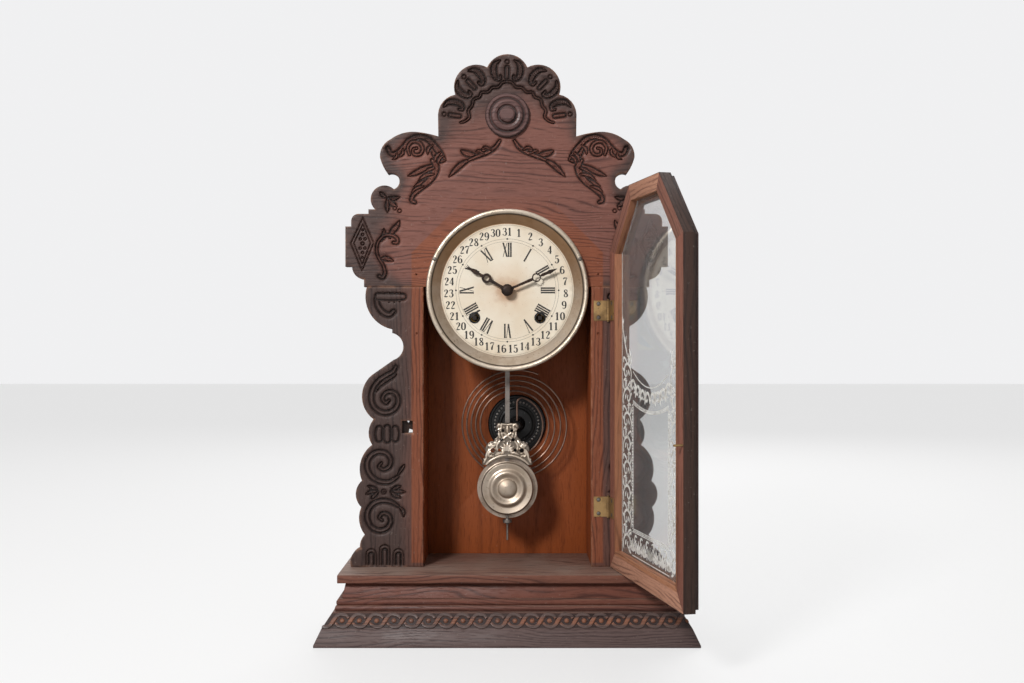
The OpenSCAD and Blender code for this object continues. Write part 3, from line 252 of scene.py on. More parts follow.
# %% Group: wood grain
grain, given = new_group(
    "wood_grain",
    [("Place", VECTOR, None), ("Ring Width", FLOAT, 0.005), ("Figure", FLOAT, 1.0)],
    ["Rings", "Fibre", "Pores", "Height"],
)
place = given["Place"]
parts = split(grain, place)
BEND, FINE_BEND = 0.06, 0.003
wander = calc(grain, "SUBTRACT", noise(grain, place, (5, 22, 22)), 0.5)
bend = calc(grain, "MULTIPLY", wander, calc(grain, "MULTIPLY", given["Figure"], BEND))
fine_bend = calc(grain, "MULTIPLY", noise(grain, place, (30, 90, 90)), FINE_BEND)
across = calc(grain, "MULTIPLY_ADD", parts[1], 0.8, parts[2])
across = calc(grain, "ADD", across, calc(grain, "ADD", bend, fine_bend))
turns = calc(grain, "MULTIPLY", calc(grain, "DIVIDE", across, given["Ring Width"]), 2 * math.pi)
wave = calc(grain, "MULTIPLY_ADD", calc(grain, "SINE", turns), 0.5, 0.5)
broken = step(grain, noise(grain, place, (9, 150, 150), 3.0), 0.36, 0.58)
ring = calc(grain, "MULTIPLY", calc(grain, "POWER", wave, 3.0), broken)
fibre = noise(grain, place, (20, 520, 520), 3.0)
pore = step(grain, noise(grain, place, (110, 1900, 1900), 1.0), 0.56, 0.7)
sunk = calc(grain, "ADD", calc(grain, "MULTIPLY", ring, 0.4), calc(grain, "MULTIPLY", pore, 0.5))
relief = calc(grain, "SUBTRACT", calc(grain, "MULTIPLY", fibre, 0.4), sunk)
deliver(grain, {"Rings": ring, "Fibre": fibre, "Pores": pore, "Height": relief})

# %% [markdown]
# ## Dirt, rubbed edges and the shadow of the door
# Old varnish is blotched and speckled, and its edges are rubbed pale. Behind the shut door
# no light reached the case, so an eight-sided patch of the first orange colour is left.
# That patch has the door's own outline, so one group gives the distance from it, and the
# door frame uses the same group to darken its outer edge.

# %% Groups: wear and door outline
wear, given = new_group(
    "wear", [("Place", VECTOR, None), ("Edge", FLOAT, 0.0)], ["Blotch", "Specks", "Rubbed"],
)
chips = step(wear, noise(wear, given["Place"], (120, 120, 160), 3.0), 0.42, 0.6)
deliver(wear, {
    "Blotch": step(wear, noise(wear, given["Place"], (16, 16, 16), 4.0), 0.35, 0.68),
    "Specks": step(wear, noise(wear, given["Place"], (420, 420, 420), 2.0), 0.66, 0.74),
    "Rubbed": calc(wear, "MULTIPLY", given["Edge"], chips),
})

# Half the door's width, where X and Z add up on its slanted corners, its top and its foot
DOOR_X, DOOR_SLANT, DOOR_TOP, DOOR_LOW = 0.0924, 0.4471, 0.4085, 0.061
outline, given = new_group("door_outline", [("Place", VECTOR, None)], ["Distance"])
parts = split(outline, given["Place"])
aside = calc(outline, "ABSOLUTE", parts[0])
beyond_corner = calc(outline, "SUBTRACT", calc(outline, "ADD", aside, parts[2]), DOOR_SLANT)
slant = calc(outline, "MULTIPLY", beyond_corner, math.sqrt(0.5))
far = calc(outline, "MAXIMUM", calc(outline, "SUBTRACT", aside, DOOR_X), slant)
ends = calc(
    outline, "MAXIMUM",
    calc(outline, "SUBTRACT", parts[2], DOOR_TOP), calc(outline, "SUBTRACT", DOOR_LOW, parts[2]),
)
deliver(outline, {"Distance": calc(outline, "MAXIMUM", far, ends)})

# %% [markdown]
# ## One way to make every wood
# A wood starts with its body colour, gets its grain lines and blotches, and then what is
# special to that board: age towards the edges, the unfaded patch, black in the carving.
# Each special thing is a mask and a colour, so a board is written as a short list.

# %% The place of a board before it was turned
ALONG = {"X": (0, 0, 0), "Y": (0, 0, -math.pi / 2), "Z": (0, math.pi / 2, 0), "slant": (0, 0, 0)}
HINGE = (0.0939, -0.01015)
OPEN = math.radians(102.6)


def door_place(tree, spot):
    """The place that a point of the open door has when the door is shut."""
    c, s = math.cos(OPEN), -math.sin(OPEN)
    shift = (HINGE[0] - (HINGE[0] * c - HINGE[1] * s), HINGE[1] - (HINGE[0] * s + HINGE[1] * c), 0)
    turn = {"Rotation": (0, 0, -OPEN), "Location": shift}
    return put(tree, "ShaderNodeMapping", {"Vector": spot, **turn}).outputs[0]


def shoulder_place(tree, spot):
    """X along the two slanted rails of the door, mirrored from left to right."""
    p = split(tree, spot)
    aside = calc(tree, "ABSOLUTE", p[0])
    along = calc(tree, "MULTIPLY", calc(tree, "SUBTRACT", p[2], aside), math.sqrt(0.5))
    across = calc(tree, "MULTIPLY", calc(tree, "ADD", p[2], aside), math.sqrt(0.5))
    return put(tree, "ShaderNodeCombineXYZ", {0: along, 1: p[1], 2: across}).outputs[0]


print("door stands open by", round(math.degrees(OPEN), 1), "degrees")

# %% The woods
# Colours that multiply the varnish in a ring or pore, and colours of specks and bare edges
RING_DARK, PORE_DARK = (0.34, 0.30, 0.31, 1), (0.4, 0.34, 0.32, 1)
SPECK, BARE = "a89a90", "a97a5e"


def wood(
    name, body, line, along="X", ring=0.005, figure=1.0, layers=(), rough=0.5, bump=0.25,
    door=False, edge=True, lines=0.85,
):
    """A varnished board. layers are (mask maker, colour, share) on top of the grain."""
    made, tree, shader = start(name)
    spot = own_place(tree)
    if door:
        spot = door_place(tree, spot)
    sawn = shoulder_place(tree, spot) if along == "slant" else spot
    turned = put(tree, "ShaderNodeMapping", {"Vector": sawn, "Rotation": ALONG[along]}).outputs[0]
    g = use_group(tree, grain, {"Place": turned, "Ring Width": ring, "Figure": figure})
    w = use_group(tree, wear, {"Place": spot, "Edge": attribute(tree, "edge") if edge else 0.0})
    colour = blend(tree, calc(tree, "MULTIPLY", g["Fibre"], 0.7), tone(body), tone(line))
    colour = blend(tree, calc(tree, "MULTIPLY", w["Blotch"], 0.35), colour, tone(body))
    for mask, dye, share in layers:
        colour = blend(tree, calc(tree, "MULTIPLY", mask(tree, spot, w), share), colour, tone(dye))
    for mark, dark, share in ((g["Rings"], RING_DARK, lines), (g["Pores"], PORE_DARK, 0.5)):
        darker = blend(tree, 1.0, colour, dark, "MULTIPLY")
        colour = blend(tree, calc(tree, "MULTIPLY", mark, share), colour, darker)
    colour = blend(tree, calc(tree, "MULTIPLY", w["Specks"], 0.14), colour, tone(SPECK))
    colour = blend(tree, calc(tree, "MULTIPLY", w["Rubbed"], 0.55), colour, tone(BARE))
    tree.links.new(colour, shader.inputs["Base Color"])
    dull = calc(tree, "MULTIPLY_ADD", w["Blotch"], 0.16, rough - 0.06)
    tree.links.new(calc(tree, "MULTIPLY_ADD", g["Pores"], 0.2, dull), shader.inputs["Roughness"])
    shader.inputs["Specular IOR Level"].default_value = 0.26
    bumpy(tree, shader, g["Height"], bump, 0.0006)
    return made


def outline_mask(low, high, to_low=0.0, to_high=1.0):
    """A mask that runs between two distances from the door's outline."""

    def mask(tree, spot, w):
        far = use_group(tree, outline, {"Place": spot})["Distance"]
        return step(tree, far, low, high, to_low, to_high)

    return mask


PATCH_IN = 0.0032
door_shadow = outline_mask(-PATCH_IN - 0.001, -PATCH_IN + 0.001, 1.0, 0.0)


def behind_door(tree, spot, w):
    """The orange patch, which fades towards its top."""
    fade = step(tree, split(tree, spot)[2], 0.36, 0.41, 1.0, 0.12)
    return calc(tree, "MULTIPLY", door_shadow(tree, spot, w), fade)


def aged(tree, spot, w):
    """The black of age, as the mesh carries it, with a ragged border."""
    ragged = calc(tree, "MULTIPLY", calc(tree, "SUBTRACT", w["Blotch"], 0.5), 0.35)
    return step(tree, calc(tree, "ADD", ragged, attribute(tree, "age")), 0.1, 0.9)


def carved(tree, spot, w):
    """Dirt in the cuts."""
    return step(tree, attribute(tree, "carve"), 0.34, 1.0)


def in_patches(tree, mask, w):
    """Half of a mask everywhere, and the whole of it in the blotches."""
    return calc(tree, "MULTIPLY", mask, calc(tree, "MULTIPLY_ADD", w["Blotch"], 0.5, 0.5))


def dusty(tree, spot, w):
    """Dust on what looks up."""
    up = split(tree, put(tree, "ShaderNodeNewGeometry").outputs["Normal"])[2]
    return in_patches(tree, step(tree, up, 0.6, 0.9), w)


crest_layers = [(aged, "41332f", 0.9), (behind_door, "84492f", 0.85), (carved, "1f1715", 0.9)]
crest_oak = wood("crest_oak", "835549", "5a3831", "X", 0.0043, 1.1, crest_layers)
stile_oak = wood("stile_oak", "6b473c", "452e28", "Z", 0.0045, 0.7, crest_layers)
print("woods", [m.name for m in bpy.data.materials if "oak" in m.name])

# %% [markdown]
# ## Meshes from numbers
# Most new pieces are made from arrays of points. This helper puts such a mesh in the scene,
# shades it smooth with sharp corners kept, and gives it a finish. A piece's object stays at
# the origin, and its place is in its points, as a frame piece's is.

# %% Mesh helpers


def place_piece(name, mesh, body, replaced=None):
    """Puts a mesh in the scene as a piece of one body, in the place of a frame piece if named."""
    piece = bpy.data.objects.new(name, mesh)
    scene.collection.objects.link(piece)
    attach(piece, body)
    if replaced:
        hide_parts(replaced)
    return piece


def add_piece(name, points, faces, finish, body, sharp=35, attributes=None, replaced=None):
    """A piece from points in metres and faces, with its corners sharp above an angle."""
    mesh = bpy.data.meshes.new(name)
    mesh.from_pydata([tuple(p) for p in points], [], [tuple(int(i) for i in f) for f in faces])
    mesh.validate()
    for label, values in (attributes or {}).items():
        layer = mesh.attributes.new(label, "FLOAT", "POINT")
        layer.data.foreach_set("value", np.asarray(values, np.float32))
    mesh.materials.append(finish)
    mesh.shade_smooth()
    mesh.set_sharp_from_angle(angle=math.radians(sharp))
    return place_piece(name, mesh, body, replaced)


def outward(mesh):
    """Turns every face of closed shells outwards."""
    work = bmesh.new()
    work.from_mesh(mesh)
    bmesh.ops.recalc_face_normals(work, faces=work.faces)
    work.to_mesh(mesh)
    work.free()


def joined(node):
    """A frame piece's mesh, ready to edit, with its loose triangles joined."""
    work = bmesh.new()
    work.from_mesh(nodes[node].data)
    bmesh.ops.remove_doubles(work, verts=work.verts, dist=1e-6)
    return work


def merged(node):
    """Points in millimetres and triangles of a frame piece."""
    work = joined(node)
    bmesh.ops.triangulate(work, faces=work.faces)
    work.verts.ensure_lookup_table()
    points = np.array([v.co for v in work.verts]) / MM
    faces = np.array([[v.index for v in f.verts] for f in work.faces])
    work.free()
    return points, faces


def curve(rows, gap=0.3):
    """A smooth run through rows of [x, z, radius], with a row about every gap."""
    rows = np.array(rows, float)
    if len(rows) == 1:
        return rows
    ends = np.vstack([2 * rows[0] - rows[1], rows, 2 * rows[-1] - rows[-2]])
    made = []
    for a, b, c, d in zip(ends[:-3], ends[1:-2], ends[2:-1], ends[3:]):
        count = max(2, int(np.hypot(*(c - b)[:2]) / gap))
        t = (np.arange(count) / count)[:, None]
        square, cube = 2 * a - 5 * b + 4 * c - d, 3 * b - a - 3 * c + d
        made.append(0.5 * (2 * b + (c - a) * t + square * t**2 + cube * t**3))
    run = np.vstack(made + [rows[-1:]])
    run[:, 2] = np.maximum(run[:, 2], 0.15)
    return run


def mirrored(rows):
    """Rows of [x, z, radius] on the other side of the clock's middle."""
    return [[-x, z, r] for x, z, r in rows]


def circle(count):
    """Evenly spaced angles of a full turn."""
    return np.linspace(0, 2 * math.pi, count, endpoint=False)


def band(at, count, step_on):
    """Quads between a ring of points that starts at an index and the ring step_on later."""
    pairs = [(at + j, at + (j + 1) % count) for j in range(count)]
    return [(p, q, q + step_on, p + step_on) for p, q in pairs]


print("mesh helpers ready")

# %% [markdown]
# ## The carving
# The ornament is pressed into the wood: rounded reeds, leaves and scrolls that lie between
# two dark grooves. It could be sculpted, but a rule is exact and repeats on both sides.
# So each scroll is a run of points with a radius, as a carver would draw it, and a function
# says how deep the wood is cut at any distance from that run: deepest along its two edges,
# and domed between. A leaf gets veins along its run as well. The runs are drawn over the
# photograph's grid, in columns and rows, and then brought to millimetres: first sideways
# from the clock's middle, then up from the table.

# %% The carver's drawing, left half
PIXEL, MIDDLE_COLUMN, FIRST_ROW_UP = 0.9325, 507.3, 588.95


def picture(rows):
    """Rows of [column, row, radius] in millimetres on the front of the case."""
    return [[(x - MIDDLE_COLUMN) * PIXEL, FIRST_ROW_UP - PIXEL * y, r * PIXEL] for x, y, r in rows]


crest_drawn = [
    ("reed", [[461, 122.5, 1.1], [465.5, 121, 1.2], [469.5, 117, 1.3], [468.6, 110.5, 1.3],
              [472, 106, 1.3], [474, 99.5, 1.3], [479.5, 97, 1.3], [482, 92.5, 1.3], [488, 92, 1.3],
              [492.5, 87.8, 1.3], [498.5, 87, 1.3], [502.5, 82.6, 1.3], [507.3, 81.6, 1.3]]),
    ("leaf", [[478, 156, 0.8], [471, 154.5, 2.6], [465.5, 153, 2.6], [461, 150.5, 0.5]]),
    ("leaf", [[469.5, 160, 0.9], [463, 163.5, 2.2], [456, 169.5, 2.3], [449, 177, 0.4]]),
    ("leaf", [[500, 140.6, 1.2], [495.5, 147, 1.7], [488.5, 152, 1.9], [479.5, 155.5, 1.9],
              [469, 160, 1.2]]),
    ("leaf", [[436, 164, 0.8], [425, 168.5, 2.3], [416, 173, 2.2], [408, 176, 0.4]]),
    ("leaf", [[430, 179, 0.8], [422, 182.5, 2.0], [414, 186.5, 0.4]]),
    ("leaf", [[432.5, 160.5, 1.6], [436, 166, 3.0], [434, 174, 3.3], [428.5, 181.5, 3.0],
              [420.5, 188.5, 2.4], [413.6, 195, 1.9], [411.8, 200.5, 1.8], [415, 202.3, 1.5]]),
    ("leaf", [[431, 148, 1.0], [435, 155, 2.3], [439, 160.5, 2.2], [445.5, 161, 0.4]]),
    ("leaf", [[388, 148.2, 1.9], [391, 153.6, 1.9], [396.5, 153.6, 2.3], [403, 148.5, 2.5],
              [409.5, 140.8, 2.3], [419, 136.8, 2.3], [428, 139.4, 2.4], [434.5, 146, 2.7],
              [440, 153, 2.6], [446, 160.4, 0.5]]),
    ("leaf", [[441, 152, 0.6], [436.5, 156.5, 1.8], [434.8, 161.5, 0.4]]),
    ("leaf", [[433, 145, 0.6], [428.6, 149, 1.7], [427.8, 154.5, 0.4]]),
    ("leaf", [[403, 148.6, 0.6], [402.6, 153.4, 1.5], [399.4, 157.2, 0.4]]),
    ("leaf", [[397, 152.4, 0.5], [396.4, 157, 1.4], [392.6, 159.4, 0.4]]),
    ("leaf", [[434, 174, 0.8], [425.5, 175.5, 1.9], [418.5, 180.5, 0.4]]),
    ("leaf", [[434.5, 168, 0.8], [429, 169.8, 1.7], [424.5, 172.8, 0.4]]),
    ("leaf", [[424, 186, 0.6], [416.5, 188.4, 1.5], [411.6, 192.4, 0.4]]),
    ("leaf", [[438, 164, 0.6], [439.8, 158.6, 1.6], [444.4, 155.4, 0.4]]),
    ("leaf", [[492, 150.4, 0.5], [486.4, 147.6, 1.4], [481.4, 149.2, 0.4]]),
    ("leaf", [[484.4, 154, 0.5], [479.6, 151, 1.3], [475.8, 151.4, 0.4]]),
    ("reed", [[409.5, 154.6, 1.3], [407.8, 147.5, 1.6], [412.4, 142, 1.7], [419.4, 142.8, 1.7],
              [423, 148.8, 1.7], [420, 154.4, 1.6], [414, 154.2, 1.5], [413.2, 149.6, 1.3],
              [417, 148.2, 1.1]]),
    ("leaf", [[380, 192.2, 0.4], [383, 195.3, 1.7], [386.4, 197.6, 0.6]]),
    ("leaf", [[387.5, 198, 0.8], [392.5, 199, 2.1], [400, 197, 0.4]]),
    ("leaf", [[388, 199, 1.0], [392, 203.5, 2.3], [396.5, 206.5, 0.8]]),
    ("leaf", [[387.4, 199.5, 0.9], [387.6, 206, 2.0], [387.4, 212.5, 0.4]]),
    ("dot", [[394.9, 208.4, 2.0]]), ("dot", [[399.6, 211.0, 2.2]]),
    ("line", [[363, 217.8, 0.9], [373.8, 243, 0.9]]),
    ("line", [[373.8, 243, 0.9], [362.2, 270.6, 0.9]]),
    ("line", [[362.2, 270.6, 0.9], [350.8, 243.4, 0.9]]),
    ("line", [[350.8, 243.4, 0.9], [363, 217.8, 0.9]]),
    ("line", [[363, 224, 0.7], [370.6, 243, 0.7]]),
    ("line", [[370.6, 243, 0.7], [362.4, 264.4, 0.7]]),
    ("line", [[362.4, 264.4, 0.7], [354, 243.3, 0.7]]),
    ("line", [[354, 243.3, 0.7], [363, 224, 0.7]]), ("dot", [[362.8, 230, 1.1]]),
    ("dot", [[362.8, 234.6, 1.4]]), ("dot", [[360.4, 239, 1.4]]), ("dot", [[365.2, 239, 1.4]]),
    ("dot", [[362.6, 243.6, 1.8]]), ("dot", [[360.2, 248.2, 1.4]]), ("dot", [[365, 248.2, 1.4]]),
    ("dot", [[362.6, 252.8, 1.4]]), ("dot", [[362.4, 257.4, 1.1]]),
    ("leaf", [[390, 237.6, 1.0], [393, 231, 2.4], [396.8, 226.5, 2.2], [399.8, 220.5, 0.4]]),
    ("leaf", [[381.5, 240.5, 0.9], [384, 235, 1.9], [384, 228.6, 0.4]]),
    ("leaf", [[380.8, 258.8, 0.9], [387, 258.8, 2.1], [393.6, 261, 0.4]]),
    ("reed", [[379.2, 276.4, 1.6], [383, 277.6, 1.7], [385.2, 272.6, 1.7], [383, 265, 1.5],
              [378.4, 257, 1.4], [376.8, 249, 1.4], [378.6, 241.5, 1.5], [384.2, 236, 1.6],
              [391.6, 235.4, 1.6], [397, 238.4, 1.7], [397.4, 242.6, 1.7], [393.6, 242.8, 1.5]]),
    ("dot", [[416.4, 274.4, 0.7]]), ("dot", [[416.7, 333.4, 0.7]]),
]
stile_drawn = [
    ("reed", [[376.8, 299.4, 2.3], [378.4, 306.5, 2.6], [383.2, 312.6, 2.7], [389.4, 315, 2.4],
              [393.8, 311.6, 2.0]]),
    ("trough", [[378.5, 296.6, 3.8], [388, 296.8, 3.9], [397, 296.8, 3.8], [403.4, 296.8, 3.2]]),
    ("dot", [[383, 292.9, 1.0]]), ("dot", [[388.6, 292.9, 1.0]]), ("dot", [[394.2, 292.9, 1.0]]),
    ("dot", [[399.6, 293.2, 1.0]]), ("dot", [[389, 301.8, 0.9]]), ("dot", [[394.2, 301.8, 0.9]]),
    ("dot", [[399.4, 301.4, 0.9]]),
    ("leaf", [[374.4, 392.5, 0.9], [379.5, 385.5, 1.9], [387, 379.6, 2.2], [392, 377.2, 1.6],
              [396.4, 374.4, 0.5]]),
    ("reed", [[396, 367.4, 1.9], [393.2, 372, 2.0], [386, 376.2, 2.2], [379, 381, 2.3],
              [373.6, 388.4, 2.4], [371.5, 397, 2.5], [373.2, 405.6, 2.5], [379.4, 411.6, 2.5],
              [387, 413.2, 2.4], [394.4, 410, 2.4], [398.4, 403, 2.3], [397, 395.6, 2.2],
              [391, 392, 2.0], [385, 394.2, 1.9], [382.8, 399.4, 1.8], [386, 403.2, 1.6],
              [389, 400.6, 1.4]]),
    ("reed", [[379.4, 429.4, 3.3], [378.8, 434.2, 3.6], [379.4, 439, 3.3]]),
    ("reed", [[387.4, 428.6, 3.4], [387.4, 434.2, 3.7], [387.4, 439.8, 3.4]]),
    ("reed", [[395.4, 429.4, 3.3], [396, 434.2, 3.6], [395.4, 439, 3.3]]),
    ("reed", [[397.6, 477.2, 1.5], [390, 482.2, 2.1], [381, 482.2, 2.3], [373, 478.2, 2.4],
              [368.2, 471, 2.4], [367.4, 463, 2.4], [371.2, 456, 2.4], [378.4, 452.4, 2.4],
              [386.4, 453.8, 2.3], [391, 460, 2.2], [389.6, 466.8, 2.0], [383.8, 470, 1.8],
              [379.2, 466.8, 1.6], [381.6, 463.2, 1.2]]),
    ("leaf", [[404.6, 464.6, 0.4], [402.4, 468.6, 1.4], [398.8, 474, 1.0]]),
    ("ring", [[384, 492, 2.9]]), ("dot", [[384, 492, 1.0]]),
    ("leaf", [[378.2, 492, 0.8], [373.6, 489, 1.9], [367.6, 485.8, 0.4]]),
    ("leaf", [[378.2, 492, 0.8], [372, 492.2, 1.8], [365.8, 494.2, 0.4]]),
    ("leaf", [[378, 492.4, 0.8], [374.6, 495.8, 1.8], [371.4, 499, 0.4]]),
    ("leaf", [[391, 492, 0.8], [395.8, 488.6, 1.9], [401, 486, 0.4]]),
    ("leaf", [[391, 492, 0.8], [398, 492, 1.9], [405.6, 492, 0.4]]),
    ("leaf", [[391, 492.4, 0.8], [395.6, 495.8, 1.9], [401, 498, 0.4]]),
    ("reed", [[398.2, 506.4, 1.5], [391, 502.4, 2.1], [382, 501.2, 2.3], [373.6, 504.2, 2.4],
              [368.4, 511, 2.4], [367.6, 519.4, 2.4], [371.8, 527.6, 2.4], [379.4, 531, 2.4],
              [387, 528.8, 2.3], [391, 522, 2.2], [388.8, 515.6, 2.0], [382.8, 514, 1.8],
              [379.6, 518, 1.6], [382.4, 520.6, 1.2]]),
    ("leaf", [[400.6, 508, 0.9], [403.4, 512, 1.6], [403.8, 517, 0.4]]),
]
FLUTE_FOOT = 566.6
for x, peak in ((371.4, 549.2), (384.9, 545.2), (398.6, 549.2)):
    left_side = [[x - 5.2, FLUTE_FOOT, 0.9], [x - 5, peak + 4.6, 0.9], [x - 3, peak + 1, 0.9]]
    right_side = [[2 * x - u, v, r] for u, v, r in reversed(left_side)]
    stile_drawn.append(("line", left_side + [[x, peak, 0.9]] + right_side))
    stile_drawn.append(("reed", [[x, FLUTE_FOOT, 2.7], [x, peak + 6.6, 2.7]]))
print("drawn by hand:", len(crest_drawn), "runs on the crest,", len(stile_drawn), "on the stile")

# %% The lobes of the crest, and both halves together
LOBE_BAR = [("reed", [[0, 4.1, 2.1], [0, -4.5, 2.1]]), ("dot", [[0, 9.8, 2.2]])]
LOBE_SCROLL = [[-6.6, 11.2, 0.6], [-11.4, 7.4, 2.3], [-12.4, 0.6, 2.9], [-10.4, -5.2, 2.3],
               [-6.8, -6.6, 1.6], [-6.2, -3.6, 1.3]]
FULLER = {"leaf": 1.2, "reed": 1.08}


def lobe(x, z, turn, sides=(-1, 1)):
    """The bar and scrolls of one lobe of the crest, turned to the left by some degrees."""
    c, s = math.cos(math.radians(turn)), math.sin(math.radians(turn))

    def set_down(rows, side):
        return [[x + c * u * side - s * v, z + s * u * side + c * v, r] for u, v, r in rows]

    scrolls = [("leaf", set_down(LOBE_SCROLL, side)) for side in sides]
    return [(kind, set_down(rows, 1)) for kind, rows in LOBE_BAR] + scrolls


left_half = []
for kind, rows in crest_drawn + stile_drawn:
    left_half.append((kind, [[x, z, r * FULLER.get(kind, 1.0)] for x, z, r in picture(rows)]))
left_half += lobe(-33.4, 510.2, 43.7) + lobe(-49, 481.2, 82.5, (-1,))
both_halves = lobe(0, 521.6, 0) + left_half + [(kind, mirrored(rows)) for kind, rows in left_half]
runs = [(kind, curve(rows)) for kind, rows in both_halves]
print("carved runs:", len(runs))

# %% [markdown]
# The front of each board is triangulated again, with fine points near the carving and
# coarse ones on the plain wood, between the outline that the frame's board has. Each point
# then moves back into the wood by the depth of cut. Near the outline the edge is rounded.
# Three numbers go with every point: how deep it is cut, how near the outer edge it is, and
# how rubbed its edge is, and the wood's finish reads all three.

# %% The rule of the cut
DEPTH = 2.3
# How much of the depth the middle of each kind of run lies below the board
LOW = {"reed": 0.08, "leaf": 0.16, "trough": 0.42}
VEIN_GAP, VEIN_LEAN = 1.9, 1.3


def close_to(x, z, run, reach):
    """Indices of the points in a run's box, grown by reach."""
    low, high = run[:, :2].min(0) - reach, run[:, :2].max(0) + reach
    return np.flatnonzero((x > low[0]) & (x < high[0]) & (z > low[1]) & (z < high[1]))


def in_radii(x, z, run, more=0.0):
    """Smallest distance of each point from a run's rows, in their radii, and that row's index."""
    away = np.hypot(x[:, None] - run[None, :, 0], z[:, None] - run[None, :, 1])
    share = away / (run[None, :, 2] + more)
    return share.min(1), share.argmin(1)


def groove(t, middle, width):
    """One where t is at the middle, falling off on both sides."""
    return np.exp(-(((t - middle) / width) ** 2))


def share_cut(kind, t, r, k):
    """Share of the full depth at t radii from row k of a run, whose radius is r there."""
    if kind == "line":
        return 0.75 * groove(t, 0, 0.75)
    if kind == "dot":
        return 0.8 * groove(t, 0.85, 0.3) + 0.1 * (t < 0.85)
    if kind == "ring":
        return 0.8 * groove(t, 0.8, 0.28)
    sides = groove(t, 0.86, np.clip(1.15 / r, 0.28, 0.6))
    inner = LOW[kind] + 0.35 * np.clip(t / 0.85, 0, 1) ** 2
    cut = np.where(t < 0.85, np.maximum(sides, inner), sides)
    if kind == "leaf":
        vein = 0.5 + 0.5 * np.cos(2 * math.pi * (k * 0.3 + VEIN_LEAN * t * r) / VEIN_GAP)
        cut += 0.32 * vein**3 * (t < 0.8) * np.clip(r - 0.9, 0, 1)
        cut += 0.25 * groove(t * r, 0, 0.3) * np.clip(r - 1.2, 0, 1)
    return cut


def cut_depth(x, z, runs):
    """Depth of cut, in millimetres, at each point of the board's front."""
    depth = np.zeros(len(x))
    for kind, run in runs:
        near = close_to(x, z, run, run[:, 2].max() * 1.7 + 0.4)
        if len(near):
            t, k = in_radii(x[near], z[near], run)
            cut = DEPTH * share_cut(kind, t, run[k, 2], k)
            depth[near] = np.where(t < 0.7, cut, np.maximum(depth[near], cut))
    return depth


def nearness(x, z, runs):
    """Smallest share of a run's radius at which each point lies."""
    best = np.full(len(x), 9.0)
    for _, run in runs:
        near = close_to(x, z, run, run[:, 2].max() * 1.6)
        if len(near):
            best[near] = np.minimum(best[near], in_radii(x[near], z[near], run, 0.35)[0])
    return best


print("deepest cut", DEPTH, "mm")

# %% A board's front, triangulated again


def edge_distance(points, a, b):
    """Distance of each point from the nearest of the segments a to b."""
    best = np.full(len(points), 1e9)
    for p, q in zip(a, b):
        d = q - p
        t = np.clip(((points - p) @ d) / max(d @ d, 1e-12), 0, 1)
        best = np.minimum(best, np.hypot(*(points - p - t[:, None] * d).T))
    return best


def inside(points, a, b):
    """Whether each point lies inside the outline made of the segments a to b."""
    odd = np.zeros(len(points), bool)
    x, z = points.T
    for (ax, az), (bx, bz) in zip(a, b):
        if az != bz:
            odd ^= ((az > z) != (bz > z)) & (x < (bx - ax) * (z - az) / (bz - az) + ax)
    return odd


def hexagons(low, high, gap):
    """Points in staggered rows, gap apart, over a rectangle."""
    rows = np.arange(low[1], high[1], gap * 0.866)
    columns = np.arange(low[0], high[0], gap)
    return np.array([[x + (k % 2) * gap / 2, z] for k, z in enumerate(rows) for x in columns])


def rim_rows(a, b, round_edge):
    """Two rows of points along the outline, on both sides of it, for its rounded edge."""
    rows = []
    for p, q in zip(a, b):
        d = q - p
        length = np.hypot(*d)
        side = np.array([-d[1], d[0]]) / max(length, 1e-9)
        count = max(1, int(length / 1.2))
        for k in range(count):
            for reach in (0.35, 1.0):
                rows.append(p + d * (k + 0.5) / count + side * reach * round_edge)
                rows.append(p + d * (k + 0.5) / count - side * reach * round_edge)
    rows = np.array(rows)
    rows = rows[inside(rows, a, b)]
    return rows[edge_distance(rows, a, b) > round_edge * 0.3]


def seeded(low, high, a, b, coarse, fine, runs, round_edge):
    """New points for a front: coarse, fine near the runs, and two rows along the outline."""
    wide, close = hexagons(low, high, coarse), hexagons(low, high, fine)
    wide = wide[nearness(*wide.T, runs) > 1.45]
    close = close[nearness(*close.T, runs) <= 1.45]
    loose = np.vstack([wide, close])
    loose = loose[inside(loose, a, b)]
    loose = loose[edge_distance(loose, a, b) > round_edge * 1.35]
    return np.vstack([loose, rim_rows(a, b, round_edge)])


